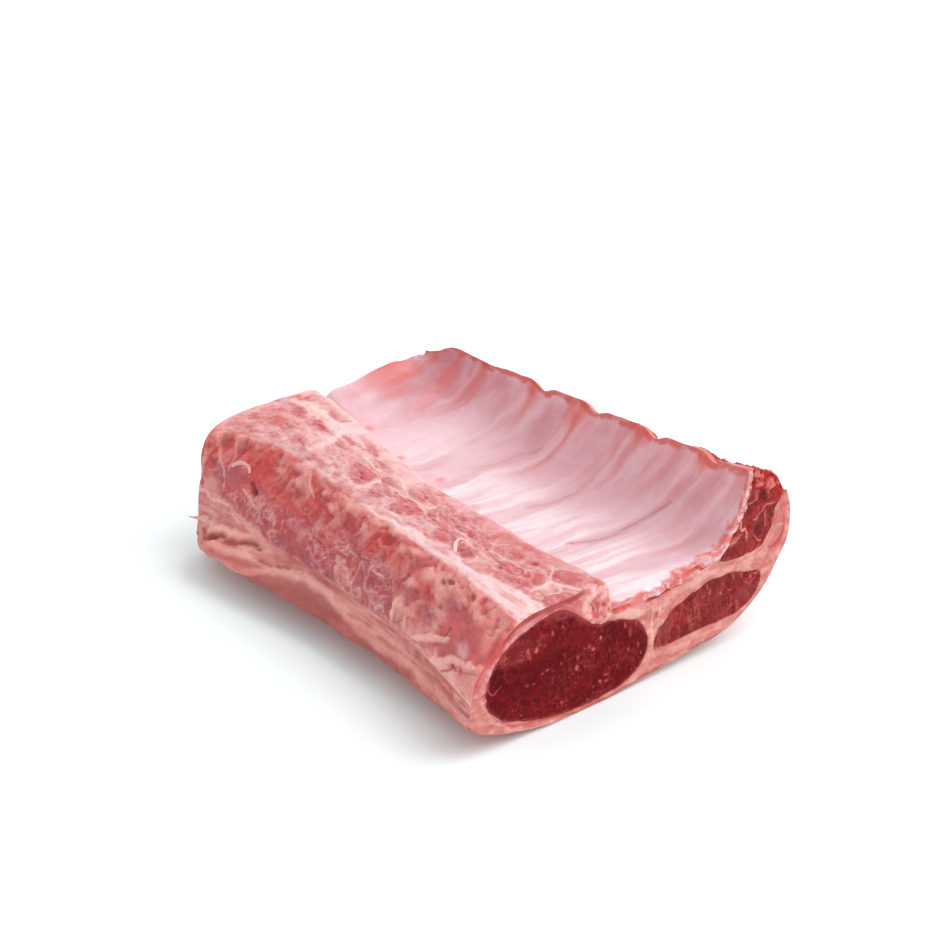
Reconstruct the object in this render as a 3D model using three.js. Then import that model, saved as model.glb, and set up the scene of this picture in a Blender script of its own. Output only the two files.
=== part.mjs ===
// Rack of lamb, raw, trimmed square, lying on its fat side with the inside of the ribs up.
//
// Axes while the joint is laid out, in millimetres: X runs from the sawn chine side to the
// rib tips, Y from the front cut (the loin end) to the back cut, and Z up from the board.
// The group at the end moves the origin to the middle of the footprint, on the board.
//
// Every layer that shows at the cuts runs the whole length. Each one is drawn as the outline
// it has at the front cut, carried along Y, and then shaped by one common function, grow(),
// so neighbours stay a hair apart wherever they meet.

import * as THREE from 'three';
import { mergeVertices } from 'three/addons/utils/BufferGeometryUtils.js';

// ---------------------------------------------------------------- driving dimensions (mm)

const LENGTH = 170;              // front cut to back cut, along the backbone
const BACK_LEAN = 2;             // how much further back the foot of the back cut stands
const LEAN_HEIGHT = 50;          // than the cut does at this height
const GAP = 0.4;                 // hair gap between neighbouring layers

const STEPS = 16;                // stations along the length
const RIM_STEPS = 2 * STEPS;     // stations along the muscle under the wavy rim
const WALL_STEPS = 3 * STEPS;    // stations along the ribbed wall
const WALL_COLUMNS = 12;         // stations from the shelf to the rim of the wall
const FLANK_COLUMN = 8;          // column of the wall where the flank muscle begins

const WALL_THICK_SHELF = 3.6;    // rib wall thickness beside the shelf
const WALL_THICK_RIM = 2.8;      // and at the rim

// how the section changes along the length; a pair is a span, [from, to], over which it eases
const VALLEY_POWER = 3;          // the rib wall rises mostly over the last third
const SHELF_POWER = 1.2;         // the chine side rises almost evenly
const VALLEY_FROM = [50, 64];    // X over which the first gives way to the second, and back
const VALLEY_TO = [110, 120];
const WALL_FOOT = 98;            // X where the rib wall starts to climb to the rim
const WALL_SLOPE = 0.9;          // and the mean slope of its foot
const TOP_BAND = [14, 32];       // Z from the layers below up to the wall's own gain
const SHELF_EDGE = 55;           // X of the step from the shelf down to the rib wall
const SHELF_SPREAD = 10;         // how far that step moves out towards the back cut
const SPREAD_SPAN = [80, 170];   // Y over which it does so
const SPREAD_FROM = 25;          // X where the shelf starts to widen
const SPREAD_FADE = [60, 100];   // X over which the wall takes the widening up
const SHELF_WAIST = 4.5;         // how far the brow of the step stands in behind the front cut
const WAIST_SPAN = [4, 30];      // Y over which it comes in
const WAIST_FROM = [30, 48];     // X where it starts and where it ends
const WAIST_TO = [50, 57];
const WAIST_BAND = [34, 43];     // Z over which it grows

const LEDGE_HEIGHT = [4.8, 9];   // Z of the fat ledge under the chine face, in front and behind
const LEDGE_SPAN = [70, 150];    // Y over which it rises
const LEDGE_SINK = 8;            // how far it sinks again by the back cut
const SINK_SPAN = [150, 170];    // Y over which it does so
const LEDGE_SLOPE = 13;          // height over which the face stands back above the ledge
const DEEP_BAND = [-10, 26];     // the same for what lies deeper than the face itself
const DEEP_FROM = [2, 6];        // X where that begins
const RIDGE_BAND = [25, 41];     // Z over which the ridge's own recess takes over
const RECESS_FADE = [6, 60];     // X over which the recess dies out

const FLAT_FROM = 56;            // X where the underside starts to lift at the front cut
const FLAT_SLOPE = 0.09;         // and its slope there
const FLAT_TO = 97;              // end of the flat underside behind the front cut
const LIFT_FADE = [97, 126];     // X over which the lift dies out in the round of the flank
const LIFT_DEPTH = 24;           // height over the underside that feels it
const SETTLE_LENGTH = 35;        // distance from the front cut over which it settles flat
const FOOT_DROP = 0.2;           // share by which the back chine corner sags
const FOOT_SPAN = [140, 165];    // Y, Z and X over which it does so
const FOOT_BAND = [3, 15];
const FOOT_FADE = [20, 36];

// Y of each furrow between two ribs, at the shelf and at the rim, where the ribs fan out;
// the first and last pair lie just beyond the cuts
const FURROWS = [
  [-3, -27], [21, 1], [41, 20], [68, 48], [94, 77], [119, 105], [140, 134], [160, 165], [181, 196],
];
const FURROW_BEND = 1.8;         // 1 for straight furrows, more where they turn near the rim
const RIB_RELIEF = 1.1;          // height of a rib above the furrows beside it
const RIB_FADE = 0.12;           // share of the wall beside the shelf where the ribs fade out
const RIM_FADE = [0.8, 0.4];     // from this share of the wall on they lose this much of it
const SCALLOP = 2.4;             // height of the waves along the rim
const SCALLOP_BACK = 0.1;        // share of it that is left at the back
const SCALLOP_FADE = [104, 126]; // Y over which it goes
const DIP_AHEAD = 5;             // how far each dip of the rim stands before its furrow's end
const WAVE_X = [108, 122];       // X and Z over which the waves grow
const WAVE_BAND = [46, 60];
const WAVE_END = [150, 171];     // Y over which they die out, the rim sinking a little there
const WAVE_SINK = 8.6;
const SINK_BAND = [46, 66];      // Z over which that sinking grows
const EDGE_FALL = 5;             // how far the sawn edge beyond the rim drops behind the front
const FALL_SPAN = [4, 40];       // Y, X and Z over which it does so
const FALL_X = [118, 130];
const FALL_BAND = [42, 54];

// --------------------------------------------------------- outlines at the front cut (X, Z)

// outside of the fat, from the chine side under the joint and up to the rib tips
const FAT_OUTSIDE = [
  [0.2, 19.2], [0.1, 12.5], [3.4, 8.6], [9.5, 5.9], [18, 3.3], [27, 1.4], [36, 0], [46, 0], [FLAT_FROM, 0],
  [69, 1.17], [83, 2.43], [FLAT_TO, 3.69], [106.5, 4.5], [114, 6.2], [123, 10.8], [130.6, 17],
  [135.6, 24], [139.8, 30.5], [140.8, 37], [140.2, 43.5], [138, 49.4],
];

// sawn chine face, shelf and step down to the rib wall
const CHINE_OUTSIDE = [
  [0.2, 19.6], [1.1, 24.6], [3.4, 28.3], [7, 32.2], [12.6, 36.4], [18.8, 40.6], [24, 42],
  [32, 42.4], [40.6, 42.5], [47, 43.3], [52.2, 43.6], [55, 41.4], [56.3, 37.6], [57.1, 33.6], [57, 31],
];

// loin eye, over the top from its chine end to the notch beside the rib wall
const EYE_TOP = [
  [5.9, 20.6], [7.3, 25.2], [10, 29.6], [14.6, 33.6], [20, 36.4], [28, 38.6], [35.6, 39.4], [41.5, 36.4],
  [46.8, 31.8], [51.4, 28.9], [54.6, 28.4],
];

// loin eye, back under from the notch to the chine end
const EYE_BOTTOM = [
  [54.6, 28.4], [62.5, 26.9], [69.5, 23.4], [73.8, 17.6], [73.9, 11.4], [70.6, 6.6], [64.5, 3.3], [55, 1.9],
  [45, 1.8], [35.7, 2.5], [27.4, 4.2], [19.8, 6.5], [12, 10], [7.6, 15], [5.9, 20.6],
];

// flat muscle under the ribs, all round
const RIB_CAP_MUSCLE = [
  [77.6, 11.8], [80, 18.2], [86.6, 22.8], [95, 25.6], [103, 27.2], [111, 26.7], [120, 25], [126.8, 22.6],
  [126.9, 17.8], [123.6, 13.6], [118, 11], [110, 10.1], [100, 10.6], [90, 10.4], [81.5, 10.1],
];

// flank muscle against the rim: round its foot and up its outside, then over the sawn edge
const FLANK_OUTSIDE = [
  [106.2, 32.9], [112, 31.9], [119, 31.6], [126, 32.5], [129.6, 36.2], [131.8, 40.6], [132.6, 45],
  [135.9, 49.4],
];
const FLANK_EDGE = [[135.8, 50.4], [131.8, 55.6], [126.6, 58.6], [121.6, 60.4]];

// inside of the rib wall, from the foot of the shelf's step to the rim
const PLEURA = [
  [58, 33.6], [66.5, 32.5], [76, 32.6], [87.5, 34], [98.6, 35.6], [106.4, 38.2], [111, 42.8], [114.2, 47.8],
  [116.3, 52.6], [117.3, 57], [118, 61.2],
];

// ------------------------------------------------------------------------- plane curves

const toVectors = (points) => points.map(([x, z]) => new THREE.Vector2(x, z));

// evenly spaced points on a smooth open line through the given points
function smoothLine(points, count) {
  return new THREE.SplineCurve(toVectors(points)).getSpacedPoints(count);
}

// the same for a closed line, whose last point would repeat the first
function smoothLoop(points, count) {
  const corners = points.map(([x, z]) => new THREE.Vector3(x, z, 0));
  const loop = new THREE.CatmullRomCurve3(corners, true).getSpacedPoints(count);
  return loop.slice(0, count).map((p) => new THREE.Vector2(p.x, p.y));
}

// a line moved sideways: to its left for a positive distance, seen along its direction
function besideLine(points, distance, closed = false) {
  const last = points.length - 1;
  return points.map((point, i) => {
    const before = points[i > 0 ? i - 1 : (closed ? last : 0)];
    const after = points[i < last ? i + 1 : (closed ? 0 : last)];
    const along = after.clone().sub(before).normalize();
    return new THREE.Vector2(point.x - along.y * distance, point.y + along.x * distance);
  });
}

const pleura = new THREE.SplineCurve(toVectors(PLEURA));

// a point of the rib wall: across runs 0..1 from shelf to rim, raised is the height above
// the inside face, along the face's own normal
function wallPoint(across, raised) {
  const point = pleura.getPointAt(across);
  const along = pleura.getTangentAt(across);
  return new THREE.Vector2(point.x - along.y * raised, point.y + along.x * raised);
}

const wallThickness = (across) => THREE.MathUtils.lerp(WALL_THICK_SHELF, WALL_THICK_RIM, across);

// the rib wall's outer face with the hair gap added, from one of its columns to another
function underWall(fromColumn, toColumn) {
  const step = Math.sign(toColumn - fromColumn);
  return Array.from({ length: Math.abs(toColumn - fromColumn) + 1 }, (_, i) => {
    const across = (fromColumn + i * step) / WALL_COLUMNS;
    return wallPoint(across, -wallThickness(across) - GAP);
  });
}

// -------------------------------------------------- growth of the section along the length

// 0 up to the start of a span, 1 from its end on, and smooth between
const ease = (value, [from, to]) => THREE.MathUtils.smoothstep(value, from, to);

const mix = THREE.MathUtils.lerp;

// smooth value at y from a few [y, value] pairs
function along(pairs) {
  const curve = new THREE.SplineCurve(toVectors(pairs));
  const samples = curve.getPoints(pairs.length * 8);
  return (y) => {
    const next = samples.findIndex((p) => p.x >= y);
    if (next <= 0) return samples[next < 0 ? samples.length - 1 : 0].y;
    const [a, b] = [samples[next - 1], samples[next]];
    return mix(a.y, b.y, (y - a.x) / (b.x - a.x));
  };
}

// how far the chine face stands back behind its place at the front cut: half way up, and
// along the ridge over it
const recessMiddle = along([[0, 0], [20, 5], [45, 10], [90, 12.5], [132, 12.5], [155, 12], [LENGTH, 11.5]]);
const recessRidge = along([[0, 0], [20, 3], [45, 6.5], [90, 9], [132, 13], [155, 9], [LENGTH, 0]]);

function chineRecess(x, y, z) {
  const ledge = mix(...LEDGE_HEIGHT, ease(y, LEDGE_SPAN)) - LEDGE_SINK * ease(y, SINK_SPAN);
  const foot = mix(ease(z - ledge, [0, LEDGE_SLOPE]), ease(z, DEEP_BAND), ease(x, DEEP_FROM));
  const depth = mix(recessMiddle(y), recessRidge(y), ease(z, RIDGE_BAND));
  return foot * (1 - ease(x, RECESS_FADE)) * depth;
}

// share of its front height that each place across gains by the back cut: along the shelf
// and the rib wall, and in the layers below, where it changes more slowly
const gainOnTop = along([
  [0, 0.16], [18, 0.19], [34, 0.24], [44, 0.24], [52, 0.22], [57, 0.34], [63, 0.53], [80, 0.56], [98, 0.54],
  [106, 0.44], [111, 0.29], [114, 0.17], [118, 0.02], [124, -0.05], [131, -0.12], [141, -0.12],
]);
const gainBelow = along([[0, 0.16], [45, 0.22], [85, 0.42], [120, 0.12], [141, 0.04]]);

function heightGain(x, y, z) {
  const t = y / LENGTH;
  const valley = ease(x, VALLEY_FROM) * (1 - ease(x, VALLEY_TO));
  const rise = mix(t ** SHELF_POWER, t ** VALLEY_POWER, valley);
  const nearWall = ease(z - WALL_SLOPE * Math.max(0, x - WALL_FOOT), TOP_BAND);
  return rise * mix(gainBelow(x), gainOnTop(x), nearWall);
}

// furrow number at a place on the wall, a whole number in each furrow between two ribs
function ribPhase(across, y) {
  const fanned = across ** FURROW_BEND;
  const furrows = FURROWS.map(([shelf, rim]) => mix(shelf, rim, fanned));
  const next = Math.min(furrows.length - 1, Math.max(1, furrows.findIndex((furrow) => furrow > y)));
  return next - 1 + (y - furrows[next - 1]) / (furrows[next] - furrows[next - 1]);
}

// waves of the rim, with a narrow dip at each furrow and a crest a third of the way on
function scallop(y) {
  const turn = 2 * Math.PI * ribPhase(1, y + DIP_AHEAD);
  const dip = 0.5 * Math.cos(turn) + 0.3 * Math.cos(2 * turn) + 0.1 * Math.cos(3 * turn);
  const wave = 0.25 * Math.sin(turn) - dip;
  const crest = SCALLOP * mix(1, SCALLOP_BACK, ease(y, SCALLOP_FADE));
  return crest * wave * (1 - ease(y, WAVE_END));
}

// the common shape: takes a place in the front outline carried along y to its real place
function grow(point) {
  const { x, y, z } = point;
  const settled = ease(y, [0, SETTLE_LENGTH]);
  const lifted = Math.max(0, Math.min(x, FLAT_TO) - FLAT_FROM) * FLAT_SLOPE * (1 - ease(x, LIFT_FADE));
  const nearUnderside = Math.max(0, 1 - (z - lifted) / LIFT_DEPTH);
  const laid = z - lifted * settled * nearUnderside;
  const sag = FOOT_DROP * ease(y, FOOT_SPAN) * (1 - ease(z, FOOT_BAND)) * (1 - ease(x, FOOT_FADE));
  const wave = scallop(y) * ease(x, WAVE_X) * ease(z, WAVE_BAND);
  const fall = EDGE_FALL * ease(y, FALL_SPAN) * ease(x, FALL_X) * ease(z, FALL_BAND);
  const sink = WAVE_SINK * ease(y, WAVE_END) * ease(x, WAVE_X) * ease(z, SINK_BAND);
  const height = laid * (1 - sag) * (1 + heightGain(x, y, z)) + wave - fall - sink;

  const widening = ease(y, SPREAD_SPAN) * ease(x, [SPREAD_FROM, SHELF_EDGE]) * (1 - ease(x, SPREAD_FADE));
  const waist = ease(y, WAIST_SPAN) * ease(x, WAIST_FROM) * (1 - ease(x, WAIST_TO)) * ease(z, WAIST_BAND);
  const lean = BACK_LEAN * (y / LENGTH) * (1 - height / LEAN_HEIGHT);
  const across = x + SHELF_SPREAD * widening - SHELF_WAIST * waist + chineRecess(x, y, z);
  point.set(across, y + lean, height);
}

// ------------------------------------------------------------------------------- solids

// shapes every vertex and merges the shared ones, so that the body is closed
function finish(geometry) {
  geometry.deleteAttribute('normal');
  geometry.deleteAttribute('uv');
  const place = geometry.attributes.position;
  const point = new THREE.Vector3();
  for (let i = 0; i < place.count; i += 1) {
    point.fromBufferAttribute(place, i);
    grow(point);
    place.setXYZ(i, point.x, point.y, point.z);
  }
  const closed = mergeVertices(geometry, 1e-4);
  closed.computeVertexNormals();
  return closed;
}

// a layer that runs the whole length: its front outline, in order round the layer
function layer(outline, { holes = [], steps = STEPS } = {}) {
  const shape = new THREE.Shape(outline);
  shape.holes = holes.map((hole) => new THREE.Path(hole));
  const prism = new THREE.ExtrudeGeometry(shape, { depth: LENGTH, steps, bevelEnabled: false });
  prism.rotateX(Math.PI / 2);
  prism.translate(0, LENGTH, 0);
  return finish(prism);
}

const eyeTop = smoothLine(EYE_TOP, 14);
const eyeBottom = smoothLine(EYE_BOTTOM, 22);

function fatCap() {
  const outside = smoothLine(FAT_OUTSIDE.slice(0, 7), 7);
  const flat = toVectors(FAT_OUTSIDE.slice(7, 12));
  const side = smoothLine(FAT_OUTSIDE.slice(12), 10);
  const roundFlank = besideLine(smoothLine(FLANK_OUTSIDE, 8), -GAP).reverse();
  const muscle = smoothLoop(RIB_CAP_MUSCLE, 20);
  const roundEye = besideLine(eyeBottom.slice(1), GAP);
  const underRibs = underWall(FLANK_COLUMN - 1, 0);
  const pocket = besideLine(muscle, GAP, true);
  return layer([...outside, ...flat, ...side, ...roundFlank, ...underRibs, ...roundEye], { holes: [pocket] });
}

function chineStrip() {
  const outside = smoothLine(CHINE_OUTSIDE, 20);
  const roundEye = besideLine(eyeTop, GAP).reverse();
  return layer([...outside, ...roundEye]);
}

function flankMuscle() {
  const outside = smoothLine(FLANK_OUTSIDE, 8);
  const edge = smoothLine(FLANK_EDGE, 5);
  const againstWall = underWall(WALL_COLUMNS, FLANK_COLUMN);
  return layer([...outside, ...edge, ...againstWall], { steps: RIM_STEPS });
}

// the rib wall: a thin slab bent along the pleura, with a ridge over every rib
function ribWall() {
  const slab = new THREE.BoxGeometry(1, 1, 1, WALL_COLUMNS, WALL_STEPS, 1);
  slab.translate(0.5, 0.5, 0.5);
  const place = slab.attributes.position;
  for (let i = 0; i < place.count; i += 1) {
    const across = place.getX(i);
    const y = place.getY(i) * LENGTH;
    const ridge = -Math.cos(2 * Math.PI * ribPhase(across, y)) * RIB_RELIEF * 0.5;
    const fade = ease(across, [0, RIB_FADE]) * (1 - RIM_FADE[1] * ease(across, [RIM_FADE[0], 1]));
    const raised = place.getZ(i) > 0.5 ? ridge * fade : -wallThickness(across);
    const point = wallPoint(across, raised);
    place.setXYZ(i, point.x, y, point.y);
  }
  return finish(slab);
}

// ------------------------------------------------------------------------------ assembly

function meat(name, geometry, color, roughness) {
  const material = new THREE.MeshStandardMaterial({ color, roughness, metalness: 0 });
  const mesh = new THREE.Mesh(geometry, material);
  mesh.name = name;
  return mesh;
}

const rack = new THREE.Group();
rack.add(
  meat('fat_cap', fatCap(), 0xe3b7a8, 0.55),
  meat('chine_strip', chineStrip(), 0xc77d78, 0.5),
  meat('rib_wall', ribWall(), 0xdcb4bc, 0.35),
  meat('loin_eye', layer([...eyeTop, ...eyeBottom.slice(1, -1)].reverse()), 0x7c2229, 0.5),
  meat('rib_cap_muscle', layer(smoothLoop(RIB_CAP_MUSCLE, 20).reverse()), 0x93373a, 0.5),
  meat('flank_muscle', flankMuscle(), 0x8f3236, 0.5),
);

// origin at the middle of the footprint, on the board
const bounds = new THREE.Box3().setFromObject(rack);
const middle = bounds.getCenter(new THREE.Vector3());
rack.position.set(-middle.x, -middle.y, -bounds.min.z);

export default rack;
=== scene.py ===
"""Raw rack of lamb lying on its fat side with the inside of the ribs up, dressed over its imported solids.

Lengths in the shaping functions are millimetres in the joint's own layout: X from the sawn chine side to
the rib tips, Y from the front cut (the loin end) to the back cut and Z up from the board. frame_place()
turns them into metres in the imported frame. Every layer is its outline at the front cut, carried along Y and
shaped by one common function, grown(), and then gets its own relief and its own shares of each tissue.
"""

import math

import bpy
import numpy as np
from mathutils import Matrix, Vector
from mathutils.geometry import delaunay_2d_cdt


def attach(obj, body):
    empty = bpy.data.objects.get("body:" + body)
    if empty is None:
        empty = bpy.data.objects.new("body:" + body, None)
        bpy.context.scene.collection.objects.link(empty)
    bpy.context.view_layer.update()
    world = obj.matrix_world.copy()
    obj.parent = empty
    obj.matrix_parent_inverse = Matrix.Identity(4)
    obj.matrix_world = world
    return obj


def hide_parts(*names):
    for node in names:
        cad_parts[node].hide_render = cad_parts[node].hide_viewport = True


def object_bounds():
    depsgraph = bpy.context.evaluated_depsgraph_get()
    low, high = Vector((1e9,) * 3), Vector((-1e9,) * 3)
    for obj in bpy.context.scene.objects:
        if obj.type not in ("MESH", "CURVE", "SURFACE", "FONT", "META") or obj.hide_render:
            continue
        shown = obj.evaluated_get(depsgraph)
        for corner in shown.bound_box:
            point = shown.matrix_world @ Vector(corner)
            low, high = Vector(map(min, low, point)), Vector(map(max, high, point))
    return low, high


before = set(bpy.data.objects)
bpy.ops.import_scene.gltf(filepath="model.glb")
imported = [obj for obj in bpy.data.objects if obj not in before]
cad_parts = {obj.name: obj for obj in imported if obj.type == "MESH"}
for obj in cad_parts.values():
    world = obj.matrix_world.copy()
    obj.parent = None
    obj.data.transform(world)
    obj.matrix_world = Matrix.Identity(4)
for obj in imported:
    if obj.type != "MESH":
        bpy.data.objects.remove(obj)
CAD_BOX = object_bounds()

bl_info = {
    "name": "Rack of lamb",
    "version": (1, 0, 0),
    "blender": (4, 5, 0),
    "location": "3D View > Sidebar > Rack of lamb",
    "description": "Models a raw rack of lamb over its packed solids",
    "category": "Add Mesh",
}

# ------------------------------------------------------------------ driving sizes (mm)

MM = 0.001
BACK_LEAN = 2.0                  # how much further back the foot of the back cut stands
LEAN_HEIGHT = 50.0               # than the cut does at this height
LENGTH = (CAD_BOX[1].y - CAD_BOX[0].y) / MM - BACK_LEAN
CORNER = np.array(CAD_BOX[0])    # the layout's origin in the frame

WALL_THICK = (3.6, 2.8)          # rib wall, beside the shelf and at the rim
# How the section changes along the length; a pair is a span, (from, to), over which it eases.
VALLEY_POWER = 3.0               # the rib wall rises mostly over the last third
SHELF_POWER = 1.2                # the chine side rises almost evenly
VALLEY_FROM = (50, 64)           # X over which the wall's power takes over, and over which it ends
VALLEY_TO = (110, 120)
WALL_FOOT = 98.0                 # X where the rib wall starts to climb to the rim
WALL_SLOPE = 0.9                 # and the mean slope of its foot
TOP_BAND = (14, 32)              # Z from the layers below up to the wall's own gain
SHELF_EDGE = 55.0                # X of the step from the shelf down to the rib wall
SHELF_SPREAD = 10.0              # how far that step moves out towards the back cut
SPREAD_SPAN = (80, 170)          # Y over which it does so
SPREAD_FROM = 25.0               # X where the shelf starts to widen
SPREAD_FADE = (60, 100)          # X over which the wall takes the widening up
SHELF_WAIST = 4.5                # how far the brow of the step stands in behind the front cut
WAIST_SPAN = (4, 30)             # Y over which it comes in
WAIST_FROM = (30, 48)            # X over which it starts, and over which it ends
WAIST_TO = (50, 57)
WAIST_BAND = (34, 43)            # Z over which it grows

LEDGE_HEIGHT = (4.8, 9.0)        # Z of the fat ledge under the chine face, in front and behind
LEDGE_SPAN = (70, 150)           # Y over which it rises
LEDGE_SINK = 8.0                 # how far it sinks again by the back cut
SINK_SPAN = (150, 170)           # Y over which it does so
LEDGE_SLOPE = 13.0               # height over which the face stands back above the ledge
DEEP_BAND = (-10, 26)            # the same for what lies deeper than the face itself
DEEP_FROM = (2, 6)               # X where that begins
RIDGE_BAND = (25, 41)            # Z over which the ridge's own recess takes over
RECESS_FADE = (6, 60)            # X over which the recess dies out

FLAT_FROM = 56.0                 # X where the underside starts to lift at the front cut
FLAT_SLOPE = 0.09                # and its slope there
FLAT_TO = 97.0                   # end of the flat underside behind the front cut
LIFT_FADE = (97, 126)            # X over which the lift dies out in the round of the flank
LIFT_DEPTH = 24.0                # height over the underside that feels it
SETTLE_LENGTH = 35.0             # distance from the front cut over which it settles flat
FOOT_DROP = 0.2                  # share by which the back chine corner sags
FOOT_SPAN = (140, 165)           # Y, Z and X over which it does so
FOOT_BAND = (3, 15)
FOOT_FADE = (20, 36)

# Y of each furrow between two ribs, at the shelf and at the rim, where the ribs fan out
FURROWS = np.array([
    [-3, -27], [21, 1], [41, 20], [68, 48], [94, 77], [119, 105], [140, 134], [160, 165], [181, 196],
], float)
FURROW_BEND = 1.8                # 1 for straight furrows, more where they turn near the rim
RIB_RELIEF = 1.1                 # height of a rib above the furrows beside it
SCALLOP = 2.4                    # height of the waves along the rim
SCALLOP_BACK = 0.1               # share of it that is left at the back
SCALLOP_FADE = (104, 126)        # Y over which the rest of it goes
DIP_AHEAD = 5.0                  # how far each dip of the rim stands before its furrow's end
WAVE_X = (108, 122)              # X and Z over which the waves grow
WAVE_BAND = (46, 60)
WAVE_END = (150, 171)            # Y over which they die out while the rim sinks
WAVE_SINK = 8.6                  # how far it sinks
SINK_BAND = (46, 66)             # Z over which that sinking grows
EDGE_FALL = 5.0                  # how far the sawn edge beyond the rim drops behind the front
FALL_SPAN = (4, 40)              # Y, X and Z over which it does so
FALL_X = (118, 130)
FALL_BAND = (42, 54)

# -------------------------------------------------- outlines at the front cut (X, Z)

FAT_OUTSIDE = [
    [0.2, 19.4], [0.1, 12.5], [3.4, 8.6], [9.5, 5.9], [18, 3.3], [27, 1.4], [36, 0], [46, 0], [56, 0],
    [69, 1.17], [83, 2.43], [97, 3.69], [106.5, 4.5], [114, 6.2], [123, 10.8], [130.6, 17], [135.6, 24],
    [139.8, 30.5], [140.8, 37], [140.2, 43.5], [138, 49.4],
]
CHINE_OUTSIDE = [
    [0.2, 19.4], [1.1, 24.6], [3.4, 28.3], [7, 32.2], [12.6, 36.4], [18.8, 40.6], [24, 42], [32, 42.4],
    [40.6, 42.5], [47, 43.3], [52.2, 43.6], [55, 41.4], [56.3, 37.6], [57.1, 33.6], [57, 31],
]
EYE_TOP = [
    [5.9, 20.6], [7.3, 25.2], [10, 29.6], [14.6, 33.6], [20, 36.4], [28, 38.6], [35.6, 39.4], [41.5, 36.4],
    [46.8, 31.8], [51.4, 28.9], [54.6, 28.4],
]
EYE_BOTTOM = [
    [54.6, 28.4], [62.5, 26.9], [69.5, 23.4], [73.8, 17.6], [73.9, 11.4], [70.6, 6.6], [64.5, 3.3],
    [55, 1.9], [45, 1.8], [35.7, 2.5], [27.4, 4.2], [19.8, 6.5], [12, 10], [7.6, 15], [5.9, 20.6],
]
RIB_CAP = [
    [77.6, 11.8], [80, 18.2], [86.6, 22.8], [95, 25.6], [103, 27.2], [111, 26.7], [120, 25], [126.8, 22.6],
    [126.9, 17.8], [123.6, 13.6], [118, 11], [110, 10.1], [100, 10.6], [90, 10.4], [81.5, 10.1],
]
FLANK_OUTSIDE = [
    [106.2, 32.9], [112, 31.9], [119, 31.6], [126, 32.5], [129.6, 36.2], [131.8, 40.6], [132.6, 45],
    [135.9, 49.4],
]
FLANK_EDGE = [[135.8, 50.4], [131.8, 55.6], [126.6, 58.6], [121.6, 60.4]]
PLEURA = [
    [58, 33.6], [66.5, 32.5], [76, 32.6], [87.5, 34], [98.6, 35.6], [106.4, 38.2], [111, 42.8],
    [114.2, 47.8], [116.3, 52.6], [117.3, 57], [118, 61.2],
]

# ------------------------------------------------------------------ curves and noise


def ease(value, low, high):
    """0 up to low, 1 from high on, and 3t² − 2t³ between, where t is the share of the way."""
    t = np.clip((np.asarray(value, float) - low) / (high - low), 0, 1)
    return t * t * (3 - 2 * t)


def fade(value, low, high):
    """1 up to low and 0 from high on: 1 − ease."""
    return 1 - ease(value, low, high)


def bell(value, width):
    """1 at 0, falling to 1/e where the value is the width: e to the −(value / width)²."""
    return np.exp(-((value / width) ** 2))


def mix(a, b, t):
    """a + (b − a)·t."""
    return a + (b - a) * t


def spline(points, closed=False, fine=40):
    """Catmull-Rom line through the points: on each stretch a cubic whose slope at a point is half
    the step between its two neighbours. Returned finely sampled, with its length at each sample."""
    p = np.asarray(points, float)
    n = len(p)
    t = np.linspace(0, n if closed else n - 1, (n if closed else n - 1) * fine + 1)
    i = np.minimum(t.astype(int), (n if closed else n - 1) - 1)
    w = (t - i)[:, None]
    before, here, there, beyond = (
        (p[(i + k) % n] if closed else p[np.clip(i + k, 0, n - 1)]) for k in (-1, 0, 1, 2)
    )
    out_slope, in_slope = (there - before) / 2, (beyond - here) / 2
    line = (2 * here - 2 * there + out_slope + in_slope) * w**3
    line += (3 * there - 3 * here - 2 * out_slope - in_slope) * w**2 + out_slope * w + here
    length = np.r_[0, np.cumsum(np.linalg.norm(np.diff(line, axis=0), axis=1))]
    return line, length


def points_at(at, line, length):
    """Points of a finely sampled line at the given distances along it."""
    return np.stack([np.interp(at, length, line[:, k]) for k in (0, 1)], -1)


def spaced(points, spacing, closed=False):
    """Evenly spaced points on the smooth line through the given ones, about `spacing` apart."""
    line, length = spline(points, closed)
    count = max(2, int(round(length[-1] / spacing)))
    at = np.linspace(0, length[-1], count + 1)
    even = points_at(at, line, length)
    return (even[:-1], at[:-1]) if closed else (even, at)


def along(pairs):
    """Smooth value at y from a few [y, value] pairs."""
    line, _ = spline(pairs)
    return lambda y: np.interp(y, line[:, 0], line[:, 1])


def lattice(i, j, seed):
    """A repeatable number from 0 to 1 for each whole (i, j): the fraction left of a large sine of them."""
    value = np.sin(i * 127.1 + j * 311.7 + seed * 74.7) * 43758.5453
    return value - np.floor(value)


def noise(u, v, seed):
    """Smooth noise from −1 to 1: the lattice numbers at the four corners, eased together."""
    i, j = np.floor(u), np.floor(v)
    a, b = ease(u - i, 0, 1), ease(v - j, 0, 1)
    low = mix(lattice(i, j, seed), lattice(i + 1, j, seed), a)
    high = mix(lattice(i, j + 1, seed), lattice(i + 1, j + 1, seed), a)
    return 2 * mix(low, high, b) - 1


def rough(u, v, seed, octaves=3):
    """Sum of noises, each twice as fine and half as strong as the one before."""
    return sum(noise(u * 2**k + 17 * k, v * 2**k - 9 * k, seed + k) / 2**k for k in range(octaves))


def cells(u, v, seed):
    """Distances from each place to the nearest and to the second nearest of points scattered one to a unit
    square, and a number of its own for the nearest one."""
    i, j = np.floor(u), np.floor(v)
    near, after, mark = np.full(u.shape, 9.0), np.full(u.shape, 9.0), np.zeros(u.shape)
    for di in (-1, 0, 1):
        for dj in (-1, 0, 1):
            a, b = i + di, j + dj
            away = np.hypot(a + lattice(a, b, seed) - u, b + lattice(a, b, seed + 1) - v)
            closer = away < near
            after = np.where(closer, near, np.minimum(after, away))
            mark = np.where(closer, lattice(a, b, seed + 2), mark)
            near = np.where(closer, away, near)
    return near, after, mark


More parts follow.
